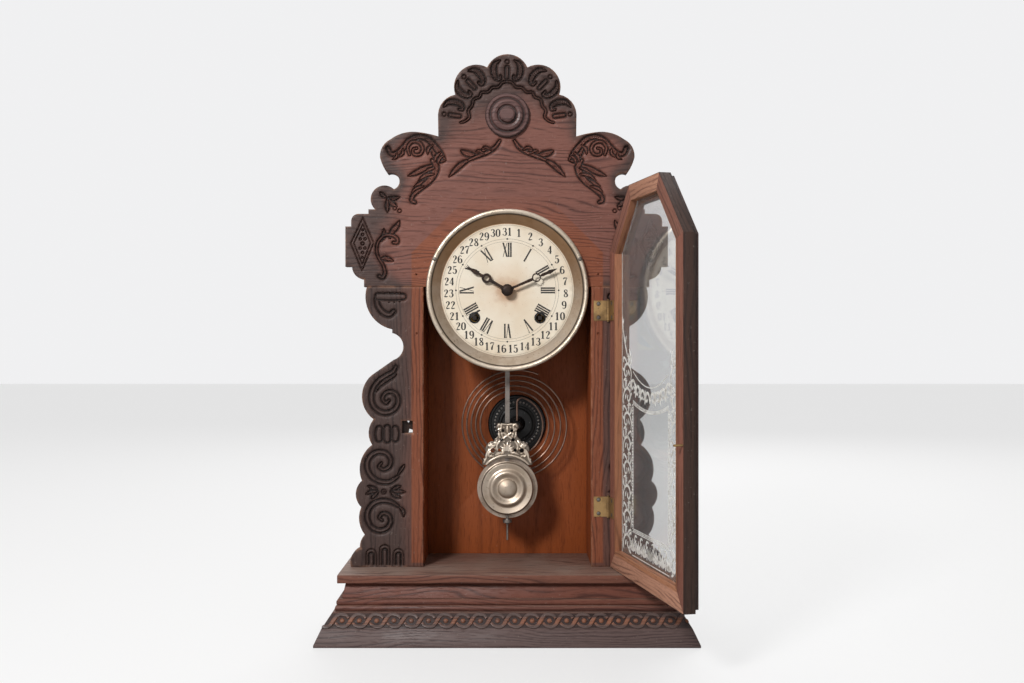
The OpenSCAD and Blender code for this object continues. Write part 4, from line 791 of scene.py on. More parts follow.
def new_front(node, coarse, fine, runs, round_edge, hole=None):
    """A frame board in millimetres, with its front triangulated again.

    Gives its points, its faces, the indices of the front's points, their distance from the
    outline, and their distance from the outline without the round hole (x, z, radius).
    """
    points, faces = merged(node)
    front_y = points[:, 1].min()
    flat = np.all(points[faces][:, :, 1] < front_y + 0.01, axis=1)
    ways = {}
    for f in faces[flat]:
        for pair in ((f[0], f[1]), (f[1], f[2]), (f[2], f[0])):
            ways[pair] = True
    rim = [(p, q) for p, q in ways if (q, p) not in ways]
    rim_points = sorted({i for pair in rim for i in pair})
    seed_of = {i: k for k, i in enumerate(rim_points)}
    flat_points = points[:, [0, 2]]
    a, b = flat_points[[p for p, _ in rim]], flat_points[[q for _, q in rim]]
    low, high = flat_points[rim_points].min(0), flat_points[rim_points].max(0)
    loose = seeded(low, high, a, b, coarse, fine, runs, round_edge)
    seeds = [Vector(p) for p in np.vstack([flat_points[rim_points], loose])]
    seams = [(seed_of[p], seed_of[q]) for p, q in rim]
    made = geometry.delaunay_2d_cdt(seeds, seams, [], 0, 1e-7)
    new_points, triangles = np.array([tuple(p) for p in made[0]]), np.array(made[2])
    triangles = triangles[inside(new_points[triangles].mean(1), a, b)]
    index = np.empty(len(new_points), int)
    extra = []
    for k, sources in enumerate(made[3]):
        old = [i for i in sources if i < len(rim_points)]
        if old:
            index[k] = rim_points[old[0]]
        else:
            index[k] = len(points) + len(extra)
            extra.append([new_points[k, 0], front_y, new_points[k, 1]])
    points = np.vstack([points, extra])
    t = index[triangles]
    u, v = points[t[:, 1]] - points[t[:, 0]], points[t[:, 2]] - points[t[:, 0]]
    backward = u[:, 2] * v[:, 0] - u[:, 0] * v[:, 2] > 0
    t[backward] = t[backward][:, ::-1]
    front = np.unique(t)
    in_plane = points[front][:, [0, 2]]
    middles = (a + b) / 2
    outer = np.full(len(a), True) if hole is None else np.hypot(*(middles - hole[:2]).T) > hole[2] + 2
    spread, outer_spread = edge_distance(in_plane, a, b), edge_distance(in_plane, a[outer], b[outer])
    return points, np.vstack([faces[~flat], t]), front, spread, outer_spread


print("front helpers ready")

# %% The carved crest and stiles
COARSE, FINE, ROUND_EDGE = 2.2, 0.5, 0.7
DIAL_HOLE = (0, 318.3, 67.6)


def carved_board(name, node, finish, age_rule, hole=None):
    """Puts a carved board in the place of a frame board."""
    points, faces, front, spread, outer_spread = new_front(node, COARSE, FINE, runs, ROUND_EDGE, hole)
    x, z = points[front, 0], points[front, 2]
    depth = cut_depth(x, z, runs) * np.clip((spread - 0.4) / 1.2, 0, 1)
    points[front, 1] += depth + 0.45 * (1 - np.clip(spread / ROUND_EDGE, 0, 1)) ** 2
    carve, age, edge = np.zeros(len(points)), np.ones(len(points)), np.zeros(len(points))
    carve[front] = depth / DEPTH
    age[front] = age_rule(x, z, outer_spread)
    edge[front] = np.exp(-spread / 0.6)
    marks = {"carve": carve, "age": age, "edge": edge}
    add_piece(name, points * MM, faces, finish, "case", 50, marks, node)
    print(name, "points", len(points), "triangles", len(faces))


def crest_age(x, z, outer_spread):
    """The crest is black at its outline, at its top and on its ears."""
    high = 0.9 * np.clip((z - 455) / 45, 0, 1)
    out = np.clip((np.abs(x) - 95) / 35, 0, 1)
    rim = 0.8 * np.exp(-np.clip(outer_spread - 1, 0, None) / 9.0)
    return np.clip(rim + 0.75 * np.maximum(high, out), 0, 1)


def stile_age(x, z, outer_spread):
    """A stile darkens from the door outwards."""
    return np.clip(0.35 + np.clip((np.abs(x) - 90) / 18, 0, 1) * 0.65, 0, 1)


carved_board("crest_carving", "crest_board", crest_oak, crest_age, DIAL_HOLE)
for side in ("left", "right"):
    carved_board(side + "_stile_carving", side + "_front_stile", stile_oak, stile_age)

# %% [markdown]
# ## Sawn boards with eased edges
# The case, shelf, mouldings and door are plain boards. A frame solid has knife edges, which
# catch no light and look like plastic. Each board is copied, its corners get a bevel of half
# a millimetre, and the bevel's faces are marked, so that the finish rubs the varnish off
# there and nowhere else.

# %% Bevelled copies of the frame's boards


def eased(node, finish, body="case", round_by=0.5):
    """A copy of a frame piece with its outer corners bevelled and marked as edge."""
    work = joined(node)
    bmesh.ops.dissolve_limit(work, angle_limit=math.radians(1), verts=work.verts, edges=work.edges)
    corners = [e for e in work.edges if e.is_manifold and e.is_convex and e.calc_face_angle() > 0.5]
    made = bmesh.ops.bevel(
        work, geom=corners, offset=round_by * MM, offset_type="OFFSET", segments=2,
        profile=0.5, affect="EDGES", clamp_overlap=True,
    )
    bevel = set(made["faces"])
    mark = work.faces.layers.float.new("edge")
    for face in work.faces:
        face[mark] = 1.0 if face in bevel else 0.0
        face.smooth = True
    for e in work.edges:
        sides = [f in bevel for f in e.link_faces]
        e.smooth = len(sides) == 2 and sides[0] == sides[1] and e.calc_face_angle(0) < 0.8
    bmesh.ops.triangulate(work, faces=[f for f in work.faces if len(f.verts) > 4])
    mesh = bpy.data.meshes.new(node + "_eased")
    work.to_mesh(mesh)
    work.free()
    mesh.materials.append(finish)
    place_piece(node + "_eased", mesh, body, node)


# The inner faces of the case: half its width, the back board's front and the top's underside
INNER_X, INNER_BACK, INNER_TOP = 0.0851, 0.05785, 0.393


def inside_case(tree, spot, w):
    """Every face that looks into the case, where the stain never met the light."""
    p = split(tree, spot)
    across = step(tree, calc(tree, "ABSOLUTE", p[0]), INNER_X - 0.0005, INNER_X + 0.0005, 1, 0)
    deep = step(tree, p[1], INNER_BACK - 0.00035, INNER_BACK + 0.00035, 1, 0)
    high = step(tree, p[2], INNER_TOP - 0.0005, INNER_TOP + 0.0005, 1, 0)
    return calc(tree, "MULTIPLY", calc(tree, "MULTIPLY", across, deep), high)


side_wood = wood(
    "side_wood", "6d4a40", "4c322d", "Z", 0.006, 0.8, [(inside_case, "86401c", 0.95)], lines=0.5,
)
back_wood = wood(
    "back_wood", "8a6850", "6a4c3a", "Z", 0.011, 0.6, [(inside_case, "8c451e", 0.95)],
    bump=0.15, lines=0.3,
)
top_layers = [(inside_case, "84421f", 0.9), (dusty, "8f857c", 0.5)]
top_wood = wood("top_wood", "644a42", "463230", "X", 0.006, 0.8, top_layers)
shelf_wood = wood("shelf_wood", "7c4f3f", "52322a", "X", 0.0048, 1.0, [(dusty, "857267", 0.95)])
eased("case_left_side", side_wood)
eased("case_right_side", side_wood)
eased("case_top", top_wood)
eased("back_board", back_wood)
eased("shelf_board", shelf_wood)

# %% [markdown]
# ## The door
# The door is open, and its back looks at the camera. Its back never had a finish coat and is
# pinkish, the rebate round the glass is still orange, and the front and outer edges are as
# dark as the case. All of that follows from how far a point is from the door's outline and
# from its front, in the place that the point has when the door is shut.

# %% Door finish
door_rim = outline_mask(-0.0006, -0.0001)
door_rebate = outline_mask(-0.0142, -0.0134, 1, 0)


def door_front(tree, spot, w):
    """The faces at the front of the shut door."""
    return step(tree, split(tree, spot)[1], -0.0205, -0.0190, 1, 0)


door_layers = [(door_rebate, "9c694a", 0.75), (door_front, "3f2e2b", 0.95), (door_rim, "30211a", 0.95)]
for name, body, line, along, members in (
    ("door_upright", "8f5d4d", "684238", "Z", ("door_hinge_stile", "door_free_stile")),
    ("door_level", "bd8c74", "926853", "X", ("door_bottom_rail", "door_top_rail")),
    ("door_slant", "8d6051", "68473e", "slant", ("door_shoulder_rails",)),
):
    door_wood = wood(name, body, line, along, 0.004, 0.6, door_layers, door=True)
    for node in members:
        eased(node, door_wood, "door", 0.6)
print("door finishes ready")

# %% [markdown]
# ## Metals
# Nickel plate goes cloudy and brown where it wears, brass goes dull, iron rusts a little, and
# none of it is clean. One group gives the clouds, spots and fine scratches. A metal is then
# two colours and a roughness: the clean one and the tarnish that the clouds bring in.

# %% Group: tarnish
tarnish, given = new_group(
    "tarnish", [("Place", VECTOR, None), ("Size", FLOAT, 1.0)], ["Cloud", "Spots", "Scratches"],
)
sized = put(
    tarnish, "ShaderNodeVectorMath", {0: given["Place"], "Scale": given["Size"]}, operation="SCALE",
).outputs[0]
deliver(tarnish, {
    "Cloud": step(tarnish, noise(tarnish, sized, (60, 60, 60), 5.0), 0.36, 0.66),
    "Spots": step(tarnish, noise(tarnish, sized, (420, 420, 420), 3.0), 0.62, 0.7),
    "Scratches": noise(tarnish, sized, (260, 260, 3200), 2.0),
})


def metal(
    name, clean, dull, rough=0.35, spots="4a4038", share=0.6, size=1.0, metallic=1.0, painted_ground_shade=False,
):
    """Tarnished metal, or black paint with metallic 0. The last argument paints shade: a dark colour on what
    isn't raised.
    """
    made, tree, shader = start(name)
    t = use_group(tree, tarnish, {"Place": own_place(tree), "Size": size})
    colour = blend(tree, calc(tree, "MULTIPLY", t["Cloud"], share), tone(clean), tone(dull))
    colour = blend(tree, calc(tree, "MULTIPLY", t["Spots"], 0.5), colour, tone(spots))
    if painted_ground_shade:
        # Painted shade: the low ground between raised forms gets a dark colour, standing for the openings of
        # a pierced casting
        deep = step(tree, attribute(tree, "carve"), 0.25, 1.0, 0, 0.75)
        colour = blend(tree, deep, colour, tone("3a302a"))
    tree.links.new(colour, shader.inputs["Base Color"])
    shader.inputs["Metallic"].default_value = metallic
    uneven = calc(tree, "MULTIPLY_ADD", t["Cloud"], 0.22, rough)
    tree.links.new(calc(tree, "MULTIPLY_ADD", t["Scratches"], 0.12, uneven), shader.inputs["Roughness"])
    bumpy(tree, shader, calc(tree, "SUBTRACT", t["Scratches"], t["Spots"]), 0.12, 0.0002)
    return made


# %% The dial pan: painted reflection darkens the top of its slope, and a painted shadow line lies in the groove of its rim
PAN_SLOPE, PAN_EDGE, GROOVE_AT = 0.0622, 0.0700, 0.0706
pan_nickel = metal("pan_nickel", "bdb0a0", "9a8a76", 0.3, "5c4a3a", 0.6)
tree, shader = pan_nickel.node_tree, pan_nickel.node_tree.nodes["Principled BSDF"]
spot = own_place(tree)
rim_low, rim_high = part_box("dial_pan")
out, up = from_middle(tree, spot, (0, 0, (rim_low[2] + rim_high[2]) / 2))
from_inner = step(tree, out, PAN_SLOPE - 0.001, PAN_SLOPE)
on_the_slope = calc(tree, "MULTIPLY", from_inner, step(tree, out, PAN_EDGE, PAN_EDGE + 0.0006, 1, 0))
uneven = calc(tree, "MULTIPLY", noise(tree, spot, (30, 30, 30), 4.0), 0.03)
# Painted reflection: the slope turns brown towards its top, where it faces down and would mirror the brown
# case, and stays pale below
high_up = step(tree, calc(tree, "ADD", up, uneven), -0.03, 0.06)
shade = calc(tree, "MULTIPLY", on_the_slope, calc(tree, "MULTIPLY_ADD", high_up, 0.75, 0.1))
colour = blend(tree, shade, shader.inputs["Base Color"].links[0].from_socket, tone("846242"))
# Painted shadow: a dark line at the groove between the rim and the slope, where the rim's shade falls
from_groove = calc(tree, "ABSOLUTE", calc(tree, "SUBTRACT", out, GROOVE_AT))
colour = blend(tree, step(tree, from_groove, 0.0003, 0.0009, 0.85, 0), colour, tone("2c211b"))
tree.links.new(colour, shader.inputs["Base Color"])
print("dial pan's slope from", PAN_SLOPE, "to", PAN_EDGE)

# %% The other metals


def paint(names, finish):
    """Gives frame pieces their finish; their meshes stay as they are."""
    for name in names.split():
        mesh = nodes[name].data
        mesh.materials.clear()
        mesh.materials.append(finish)


bob_nickel = metal("bob_nickel", "a99b8c", "82705e", 0.26, "5a4c42", 0.5)
dull_nickel = metal("dull_nickel", "94867a", "6a5a4c", 0.4, "463a30", 0.6)
hinge_brass = metal("hinge_brass", "9f8259", "64503a", 0.42, "3d2f24", 0.7)
movement_brass = metal("movement_brass", "b8964f", "8a6c38", 0.3, "4b3a22", 0.5)
movement_steel = metal("movement_steel", "8d8b88", "6a6460", 0.32, "46382e", 0.4)
strip_steel = metal("strip_steel", "7b746e", "554b45", 0.38, "3a2e27", 0.5)
# Painted shade: the winding arbors get a near-black colour for the shade deep in their eyelet holes
arbor_painted_dark = metal("arbor_painted_dark", "3a3532", "2a2522", 0.22, "241d18", 0.5)
hand_steel = metal("hand_steel", "2c2624", "453730", 0.4, "6a4a35", 0.5, 2.0)
screw_steel = metal("screw_steel", "6f6a64", "4a403a", 0.4, "2e2520", 0.6, 2.0)
bead_iron = metal("bead_iron", "8b8682", "57504b", 0.2, "2e2924", 0.4)
black_iron = metal("black_iron", "121111", "1f1c1a", 0.12, "2a2420", 0.4, 1.0, 0.0)
black_iron.node_tree.nodes["Principled BSDF"].inputs["Specular IOR Level"].default_value = 0.25
paint("dial_pan", pan_nickel)
paint("dial_eyelets gong_base", black_iron)
paint("bob_back", dull_nickel)
paint("hinge_case_leaves hinge_door_leaves hinge_pins door_catch", hinge_brass)
paint("front_plate back_plate time_great_wheel strike_great_wheel second_wheel", movement_brass)
paint("centre_wheel third_wheel escape_wheel minute_wheel hour_wheel", movement_brass)
paint("cannon_pinion pin_wheel fly", movement_brass)
paint("pillars verge hammer suspension_spring", movement_steel)
paint("pendulum_rod rating_nut", strip_steel)
paint("time_winding_arbor strike_winding_arbor", arbor_painted_dark)
paint("hour_hand minute_hand hand_nut latch_keeper", hand_steel)
paint("case_screws door_screws", screw_steel)
print("materials so far:", len(bpy.data.materials))

# %% [markdown]
# ## The keeper behind the latch hole
# The door's catch pin snaps into an iron keeper behind a worn hole in the left stile. Little
# light comes past the plate: a slit above it and a notch at its lower corner. It is made as
# an outline with a notch, given a thickness, and set at the back of the hole.

# %% Keeper plate
HOLE_WIDE, PLATE = 10.0, 0.5
keeper_low, keeper_high = [[v / MM for v in corner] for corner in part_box("latch_keeper")]
left, right = keeper_low[0], keeper_low[0] + HOLE_WIDE - 0.2
low, high = keeper_low[2], keeper_high[2]
plate = [
    (left, low), (right - 4.2, low), (right - 3.4, low + 3.6), (right, low + 2.4), (right, high),
    (right - 3.0, high), (right - 4.4, high - 2.2), (right - 5.8, high), (left, high),
]
front_y = keeper_high[1] - 0.05
points = [(x, y, z) for y in (front_y, front_y + PLATE) for x, z in plate]
count = len(plate)
faces = [tuple(range(count)), tuple(range(2 * count - 1, count - 1, -1))] + band(0, count, count)
keeper = add_piece("keeper_plate", np.array(points) * MM, faces, hand_steel, "case")
outward(keeper.data)
print("keeper plate", [round(v, 1) for v in (left, right, low, high)], "mm")

# %% [markdown]
# ## The rosette, base and underside
# The turned rosette and the base have the crest's dark finish. Dirt stays in the turned
# grooves, so a mask by distance from the rosette's middle darkens them. Foot and mouldings
# are greyer at the bottom, where a duster and floor water reach them.

# %% Rosette, base mouldings and underside
rosette_low, rosette_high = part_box("crest_rosette")
rosette_middle = [(a + b) / 2 for a, b in zip(rosette_low, rosette_high)]
rosette_r = (rosette_high[0] - rosette_low[0]) / 2


def turned_grooves(tree, spot, w):
    """Dirt in the rosette's grooves, which lie at shares of its radius."""
    share = calc(tree, "DIVIDE", from_middle(tree, spot, rosette_middle)[0], rosette_r)
    dark = 0.0
    for groove_at, wide in ((0.40, 0.06), (0.765, 0.06), (1.0, 0.07)):
        near = calc(tree, "ABSOLUTE", calc(tree, "SUBTRACT", share, groove_at))
        dark = calc(tree, "MAXIMUM", dark, step(tree, near, 0.0, wide, 1, 0))
    return dark


def low_down(tree, spot, w):
    """The lowest centimetres of the clock."""
    return step(tree, split(tree, spot)[2], 0.012, 0.040, 1, 0)


def strip_ground(tree, spot, w):
    """Painted shade on the sunk ground of the pressed strip, between its ribbon and beads."""
    p = split(tree, spot)
    above, below = step(tree, p[2], 0.0152, 0.0166), step(tree, p[2], 0.0268, 0.0280, 1, 0)
    in_front = step(tree, p[1], -0.0490, -0.0480, 1, 0)
    return calc(tree, "MULTIPLY", calc(tree, "MULTIPLY", above, below), in_front)


rosette_wood = wood(
    "rosette_wood", "6b4f4b", "48322f", "X", 0.004, 0.6, [(turned_grooves, "231917", 0.9)], 0.38,
)
base_layers = [(low_down, "544c4b", 0.75), (dusty, "857468", 0.4)]
base_depth = wood("base_depth", "734233", "442821", "Y", 0.0042, 0.9, base_layers)
# Painted shade: the strip's sunk ground between ribbon and beads is darkened
base_layers = base_layers + [(strip_ground, "2a201e", 0.85)]
base_level = wood("base_level", "734233", "442821", "X", 0.0042, 0.9, base_layers)
paint("crest_rosette", rosette_wood)
paint("base_bottom", wood("under_wood", "8a6a50", "65492f", "X", 0.007, 1.0, edge=False))
eased("base_front_moulding", base_level)
eased("base_left_moulding", base_depth)
eased("base_right_moulding", base_depth)
print("rosette radius", round(rosette_r / MM, 1), "mm")

# %% [markdown]
# ## Thin ribbons
# The print on the dial and the lace on the glass are drawn with strokes that swell and
# narrow. A curve object with a bevel could do it, but a ribbon made from points is flat
# where print is flat, and its width follows each stroke exactly.

# %% Helper: ribbons and discs
DISC = 12


def disc(x, z, r, front, back, at):
    """A flat disc whose points start at an index."""
    ring = [(x + r * math.cos(a), z + r * math.sin(a)) for a in circle(DISC)]
    points = [(u, y, v) for y in (front, back) for u, v in ring]
    ends = [tuple(at + k for k in range(DISC)), tuple(at + 2 * DISC - 1 - k for k in range(DISC))]
    return points, ends + band(at, DISC, DISC)


def ribbon(run, front, back, at):
    """A flat closed strip along a run of [x, z, half width], whose points start at an index."""
    way = np.gradient(run[:, :2], axis=0)
    way /= np.maximum(np.hypot(*way.T), 1e-9)[:, None]
    side = np.column_stack([-way[:, 1], way[:, 0]]) * run[:, 2:]
    points, faces = [], []
    for a, b in zip(run[:, :2] + side, run[:, :2] - side):
        points += [(a[0], front, a[1]), (b[0], front, b[1]), (b[0], back, b[1]), (a[0], back, a[1])]
    for k in range(len(run) - 1):
        faces += band(at + 4 * k, 4, 4)
    last = at + 4 * (len(run) - 1)
    return points, faces + [(at + 3, at + 2, at + 1, at), (last, last + 1, last + 2, last + 3)]


def drawn_piece(name, runs, front, back, finish, body, turn=None):
    """A piece made of ribbons, and of discs for runs of one row, between two depths in mm."""
    points, faces = [], []
    for run in runs:
        run = np.asarray(run, float)
        if len(run) == 1:
            more, ways = disc(*run[0], front, back, len(points))
        else:
            more, ways = ribbon(run, front, back, len(points))
        points += more
        faces += ways
    points = np.array(points) * MM
    if turn:
        points = turn(points)
    piece = add_piece(name, points, faces, finish, body, 30)
    outward(piece.data)
    print(name, "strokes", len(runs), "faces", len(piece.data.polygons))


print("a disc has", DISC, "corners")

# %% [markdown]
# ## The dial: stained paper, printed figures
# The paper is cream, brown round the hands' arbor where oil crept out, and a little darker
# at its rim. The figures are printed in black with fat and thin strokes, upright on the
# day ring and standing on the centre in the hour ring, with IIII for four. Each figure is
# drawn in a box one unit high and set round the dial by a loop.

# %% Dial paper
paper_low, paper_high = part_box("dial_paper")
DIAL_Z = (paper_low[2] + paper_high[2]) / 2 / MM
PAPER_Y = paper_low[1] / MM
dial_cream, tree, shader = start("dial_cream")
spot = own_place(tree)
out = from_middle(tree, spot, (0, 0, DIAL_Z * MM))[0]
blots = calc(tree, "SUBTRACT", noise(tree, spot, (90, 90, 90), 4.0), 0.5)
ragged = calc(tree, "MULTIPLY_ADD", blots, 0.016, out)
cloud = step(tree, noise(tree, spot, (30, 30, 30), 3.0), 0.35, 0.7)
colour = blend(tree, cloud, tone("eadfcc"), tone("e1d1b9"))
specks = noise(tree, spot, (700, 700, 700), 2.0)
# Oil, its yellow border, the darker rim and the specks: value, from, to, share there, dye
for value, low, high, at_low, at_high, dye in (
    (ragged, 0.004, 0.016, 0.75, 0, "a9744f"), (ragged, 0.006, 0.034, 0.35, 0, "d8b48e"),
    (ragged, 0.056, 0.0625, 0, 0.4, "b7a285"), (specks, 0.66, 0.74, 0, 0.3, "9d7d58"),
):
    colour = blend(tree, step(tree, value, low, high, at_low, at_high), colour, tone(dye))
tree.links.new(colour, shader.inputs["Base Color"])
shader.inputs["Roughness"].default_value = 0.62
bumpy(tree, shader, noise(tree, spot, (900, 900, 900)), 0.1, 0.0001)
paint("dial_paper", dial_cream)
print("paper at y", round(PAPER_Y, 2), "mm, its middle at z", round(DIAL_Z, 2), "mm")

# %% Ink, and the strokes of the day figures


def ink(name, code, worn):
    """Printing ink that lets the paper through in small spots."""
    made, tree, shader = start(name)
    thin = step(tree, noise(tree, own_place(tree), (800, 800, 800), 2.0), 0.5, 0.7, 0, worn)
    tree.links.new(blend(tree, thin, tone(code), tone("a08d76")), shader.inputs["Base Color"])
    shader.inputs["Roughness"].default_value = 0.6
    return made


SIX = [[0.46, 0.84, 0.06], [0.4, 0.95, 0.03], [0.28, 0.98, 0.03], [0.13, 0.8, 0.07],
       [0.08, 0.5, 0.09], [0.1, 0.24, 0.085], [0.18, 0.06, 0.05], [0.3, 0.01, 0.03],
       [0.46, 0.12, 0.07], [0.51, 0.3, 0.085], [0.46, 0.5, 0.07], [0.32, 0.58, 0.03],
       [0.16, 0.45, 0.03]]
FIGURES = {
    "0": [[[0.3, 0.02, 0.03], [0.13, 0.16, 0.07], [0.08, 0.5, 0.09], [0.13, 0.84, 0.07],
           [0.3, 0.98, 0.03], [0.47, 0.84, 0.07], [0.52, 0.5, 0.09], [0.47, 0.16, 0.07],
           [0.3, 0.02, 0.03]]],
    "1": [[[0.28, 0, 0.09], [0.28, 1, 0.09]], [[0.08, 0.8, 0.02], [0.26, 0.97, 0.04]],
          [[0.1, 0.02, 0.03], [0.46, 0.02, 0.03]]],
    "2": [[[0.1, 0.74, 0.075], [0.14, 0.9, 0.04], [0.28, 0.97, 0.03], [0.44, 0.85, 0.08],
           [0.42, 0.65, 0.085], [0.25, 0.37, 0.04], [0.08, 0.06, 0.03]],
          [[0.08, 0.07, 0.06], [0.3, 0.06, 0.06], [0.52, 0.1, 0.03]]],
    "3": [[[0.1, 0.8, 0.07], [0.15, 0.93, 0.03], [0.28, 0.97, 0.03], [0.44, 0.85, 0.08],
           [0.42, 0.62, 0.06], [0.25, 0.53, 0.02]],
          [[0.25, 0.53, 0.02], [0.44, 0.46, 0.06], [0.5, 0.25, 0.09], [0.4, 0.06, 0.05],
           [0.25, 0.01, 0.03], [0.12, 0.07, 0.03], [0.08, 0.2, 0.075]]],
    "4": [[[0.38, 1, 0.03], [0.02, 0.28, 0.025]], [[0.02, 0.28, 0.03], [0.56, 0.28, 0.03]],
          [[0.38, 1, 0.08], [0.38, 0, 0.08]]],
    "5": [[[0.11, 0.98, 0.03], [0.12, 0.55, 0.02]],
          [[0.1, 0.95, 0.05], [0.3, 0.93, 0.06], [0.48, 0.98, 0.03]],
          [[0.12, 0.55, 0.02], [0.28, 0.62, 0.03], [0.44, 0.52, 0.08], [0.48, 0.3, 0.09],
           [0.4, 0.08, 0.06], [0.25, 0.01, 0.03], [0.1, 0.1, 0.05], [0.09, 0.22, 0.07]]],
    "6": [SIX],
    "7": [[[0.06, 0.78, 0.03], [0.1, 0.93, 0.06], [0.3, 0.95, 0.06], [0.54, 0.97, 0.02]],
          [[0.54, 0.97, 0.02], [0.36, 0.6, 0.05], [0.26, 0.3, 0.09], [0.24, 0.03, 0.09]]],
    "8": [[[0.3, 0.98, 0.03], [0.14, 0.87, 0.06], [0.14, 0.7, 0.07], [0.3, 0.53, 0.06],
           [0.47, 0.34, 0.08], [0.47, 0.14, 0.08], [0.3, 0.02, 0.03], [0.12, 0.13, 0.06],
           [0.1, 0.3, 0.05], [0.28, 0.5, 0.04], [0.44, 0.68, 0.04], [0.45, 0.86, 0.05],
           [0.3, 0.98, 0.03]]],
    "9": [[[0.6 - x, 1 - y, r] for x, y, r in SIX]],
}
DAY_HIGH, DAY_AT, FIGURE_STEP = 7.2, 54.8, 0.66
FIGURE_WIDE, DAY_BOLD, DAY_THIN, DAY_FAT = 0.6, 1.25, 0.2, 0.76


def day_number(number):
    """The strokes of one day, upright, with the middle of the number on the day ring."""
    text = str(number)
    turn = 2 * math.pi * number / 31
    wide = DAY_HIGH * (FIGURE_STEP * (len(text) - 1) + FIGURE_WIDE)
    x, z = DAY_AT * math.sin(turn) - wide / 2, DIAL_Z + DAY_AT * math.cos(turn) - DAY_HIGH / 2
    made = []
    for place_in, figure in enumerate(text):
        for run in FIGURES[figure]:
            stroke = np.array(run, float) * DAY_HIGH
            stroke = curve(stroke, 0.5) if len(run) > 2 else stroke
            stroke[:, 2] = np.clip(stroke[:, 2] * DAY_BOLD, DAY_THIN, DAY_FAT)
            made.append(stroke + [x + place_in * FIGURE_STEP * DAY_HIGH, z, 0])
    return made


print("day figures:", len(FIGURES))

# %% The hour numerals, and the printing
HOUR_LOW, HOUR_TOP, FAT, THIN = 31.4, 44.5, 0.74, 0.26


def serif(x, y, half):
    """A short thin stroke across the end of a fat one."""
    return [[x - half, y, THIN], [x + half, y, THIN]]


# Each letter has its width and its strokes, in millimetres sideways and shares of its height
LETTERS = {
    "I": (2.1, [[[0, 0, FAT], [0, 1, FAT]], serif(0, 0.01, 0.9), serif(0, 0.99, 0.9)]),
    "V": (4.6, [[[-1.8, 1, FAT], [0.1, 0, FAT]], [[1.8, 1, THIN], [0.2, 0, THIN]],
                serif(-1.8, 0.99, 0.8), serif(1.8, 0.99, 0.6)]),
    "X": (4.6, [[[-1.8, 1, FAT], [1.8, 0, FAT]], [[1.8, 1, THIN], [-1.8, 0, THIN]],
                serif(-1.8, 0.99, 0.7), serif(1.8, 0.01, 0.7)]),
}


def hour_number(hour, text):
    """The strokes of one hour's numeral, standing on the dial's centre."""
    c, s = math.cos(math.radians(30 * hour)), math.sin(math.radians(30 * hour))
    at = -sum(LETTERS[letter][0] for letter in text) / 2
    made = []
    for letter in text:
        width, strokes = LETTERS[letter]
        for stroke in strokes:
            set_out = [(u + at + width / 2, HOUR_LOW + v * (HOUR_TOP - HOUR_LOW), r) for u, v, r in stroke]
            made.append([[u * c + v * s, DIAL_Z - u * s + v * c, r] for u, v, r in set_out])
        at += width
    return made


def on_dial(radius, turn, r):
    """A row at a distance from the dial's centre and a turn from its top."""
    return [radius * math.sin(turn), DIAL_Z + radius * math.cos(turn), r]


HOURS = ["I", "II", "III", "IIII", "V", "VI", "VII", "VIII", "IX", "X", "XI", "XII"]
DOTS_AT, DOT = 48, 0.85
RINGS = ((48.1, 0.13), (45.6, 0.11), (61.0, 0.12))
strokes = [run for day in range(1, 32) for run in day_number(day)]
strokes += [run for k, text in enumerate(HOURS) for run in hour_number(k + 1, text)]
strokes += [[on_dial(DOTS_AT, math.radians(30 * k), DOT)] for k in range(12)]
figure_ink, ring_ink = ink("figure_ink", "1f1a17", 0.2), ink("ring_ink", "7d6e5c", 0.7)
drawn_piece("dial_figures", strokes, PAPER_Y - 0.07, PAPER_Y - 0.01, figure_ink, "case")
rings = [[on_dial(radius, a, wide) for a in np.linspace(0, 2 * math.pi, 97)] for radius, wide in RINGS]
drawn_piece("dial_rings", rings, PAPER_Y - 0.05, PAPER_Y - 0.01, ring_ink, "case")

# %% [markdown]
# ## Trees for what repeats
# Beads on the gong's base, and the guilloche of the base, are one small shape many times.
# Geometry Nodes set copies in a ring or a row from a count and a size, and realize them, so
# that the result is a plain mesh. Two more trees sweep a round or a flat section along a
# line, which is how the gong's wire and the mainsprings are wound.

# %% Geometry Nodes: ring, row, wound wire and wound strip
COUNT = "NodeSocketInt"
TREE_SHARP = 40


def new_tree(name, sizes):
    """An empty tree that takes a mesh, sizes given as (name, kind), and a finish."""
    tree = bpy.data.node_groups.new(name, "GeometryNodeTree")
    tree.interface.new_socket("Geometry", in_out="INPUT", socket_type="NodeSocketGeometry")
    for label, kind in sizes + [("Finish", "NodeSocketMaterial")]:
        tree.interface.new_socket(label, in_out="INPUT", socket_type=kind)
    tree.interface.new_socket("Geometry", in_out="OUTPUT", socket_type="NodeSocketGeometry")
    return tree, tree.nodes.new("NodeGroupInput").outputs


def close_tree(tree, made, finish):
    """Ends a tree: realized, smooth, with its finish."""
    made = put(tree, "GeometryNodeRealizeInstances", {"Geometry": made}).outputs[0]
    made = put(tree, "GeometryNodeSetShadeSmooth", {"Geometry": made}).outputs[0]
    made = put(tree, "GeometryNodeSetMaterial", {"Geometry": made, "Material": finish}).outputs[0]
    put(tree, "NodeGroupOutput", {0: made})


def set_copies(tree, given, spots):
    """Sets a copy of the tree's mesh on each spot and ends the tree."""
    copies = put(tree, "GeometryNodeInstanceOnPoints", {"Points": spots, "Instance": given["Geometry"]})
    close_tree(tree, copies.outputs[0], given["Finish"])


def sweeping_tree(name, sizes, section_kind, section_sizes):
    """A tree that sweeps a section along a line of edges, sized by its own inputs."""
    tree, given = new_tree(name, sizes)
    section = put(tree, section_kind, {theirs: given[ours] for theirs, ours in section_sizes.items()})
    path = put(tree, "GeometryNodeMeshToCurve", {"Mesh": given["Geometry"]})
    swept = put(
        tree, "GeometryNodeCurveToMesh",
        {"Curve": path.outputs[0], "Profile Curve": section.outputs[0], "Fill Caps": True},
    )
    close_tree(tree, swept.outputs[0], given["Finish"])
    return tree


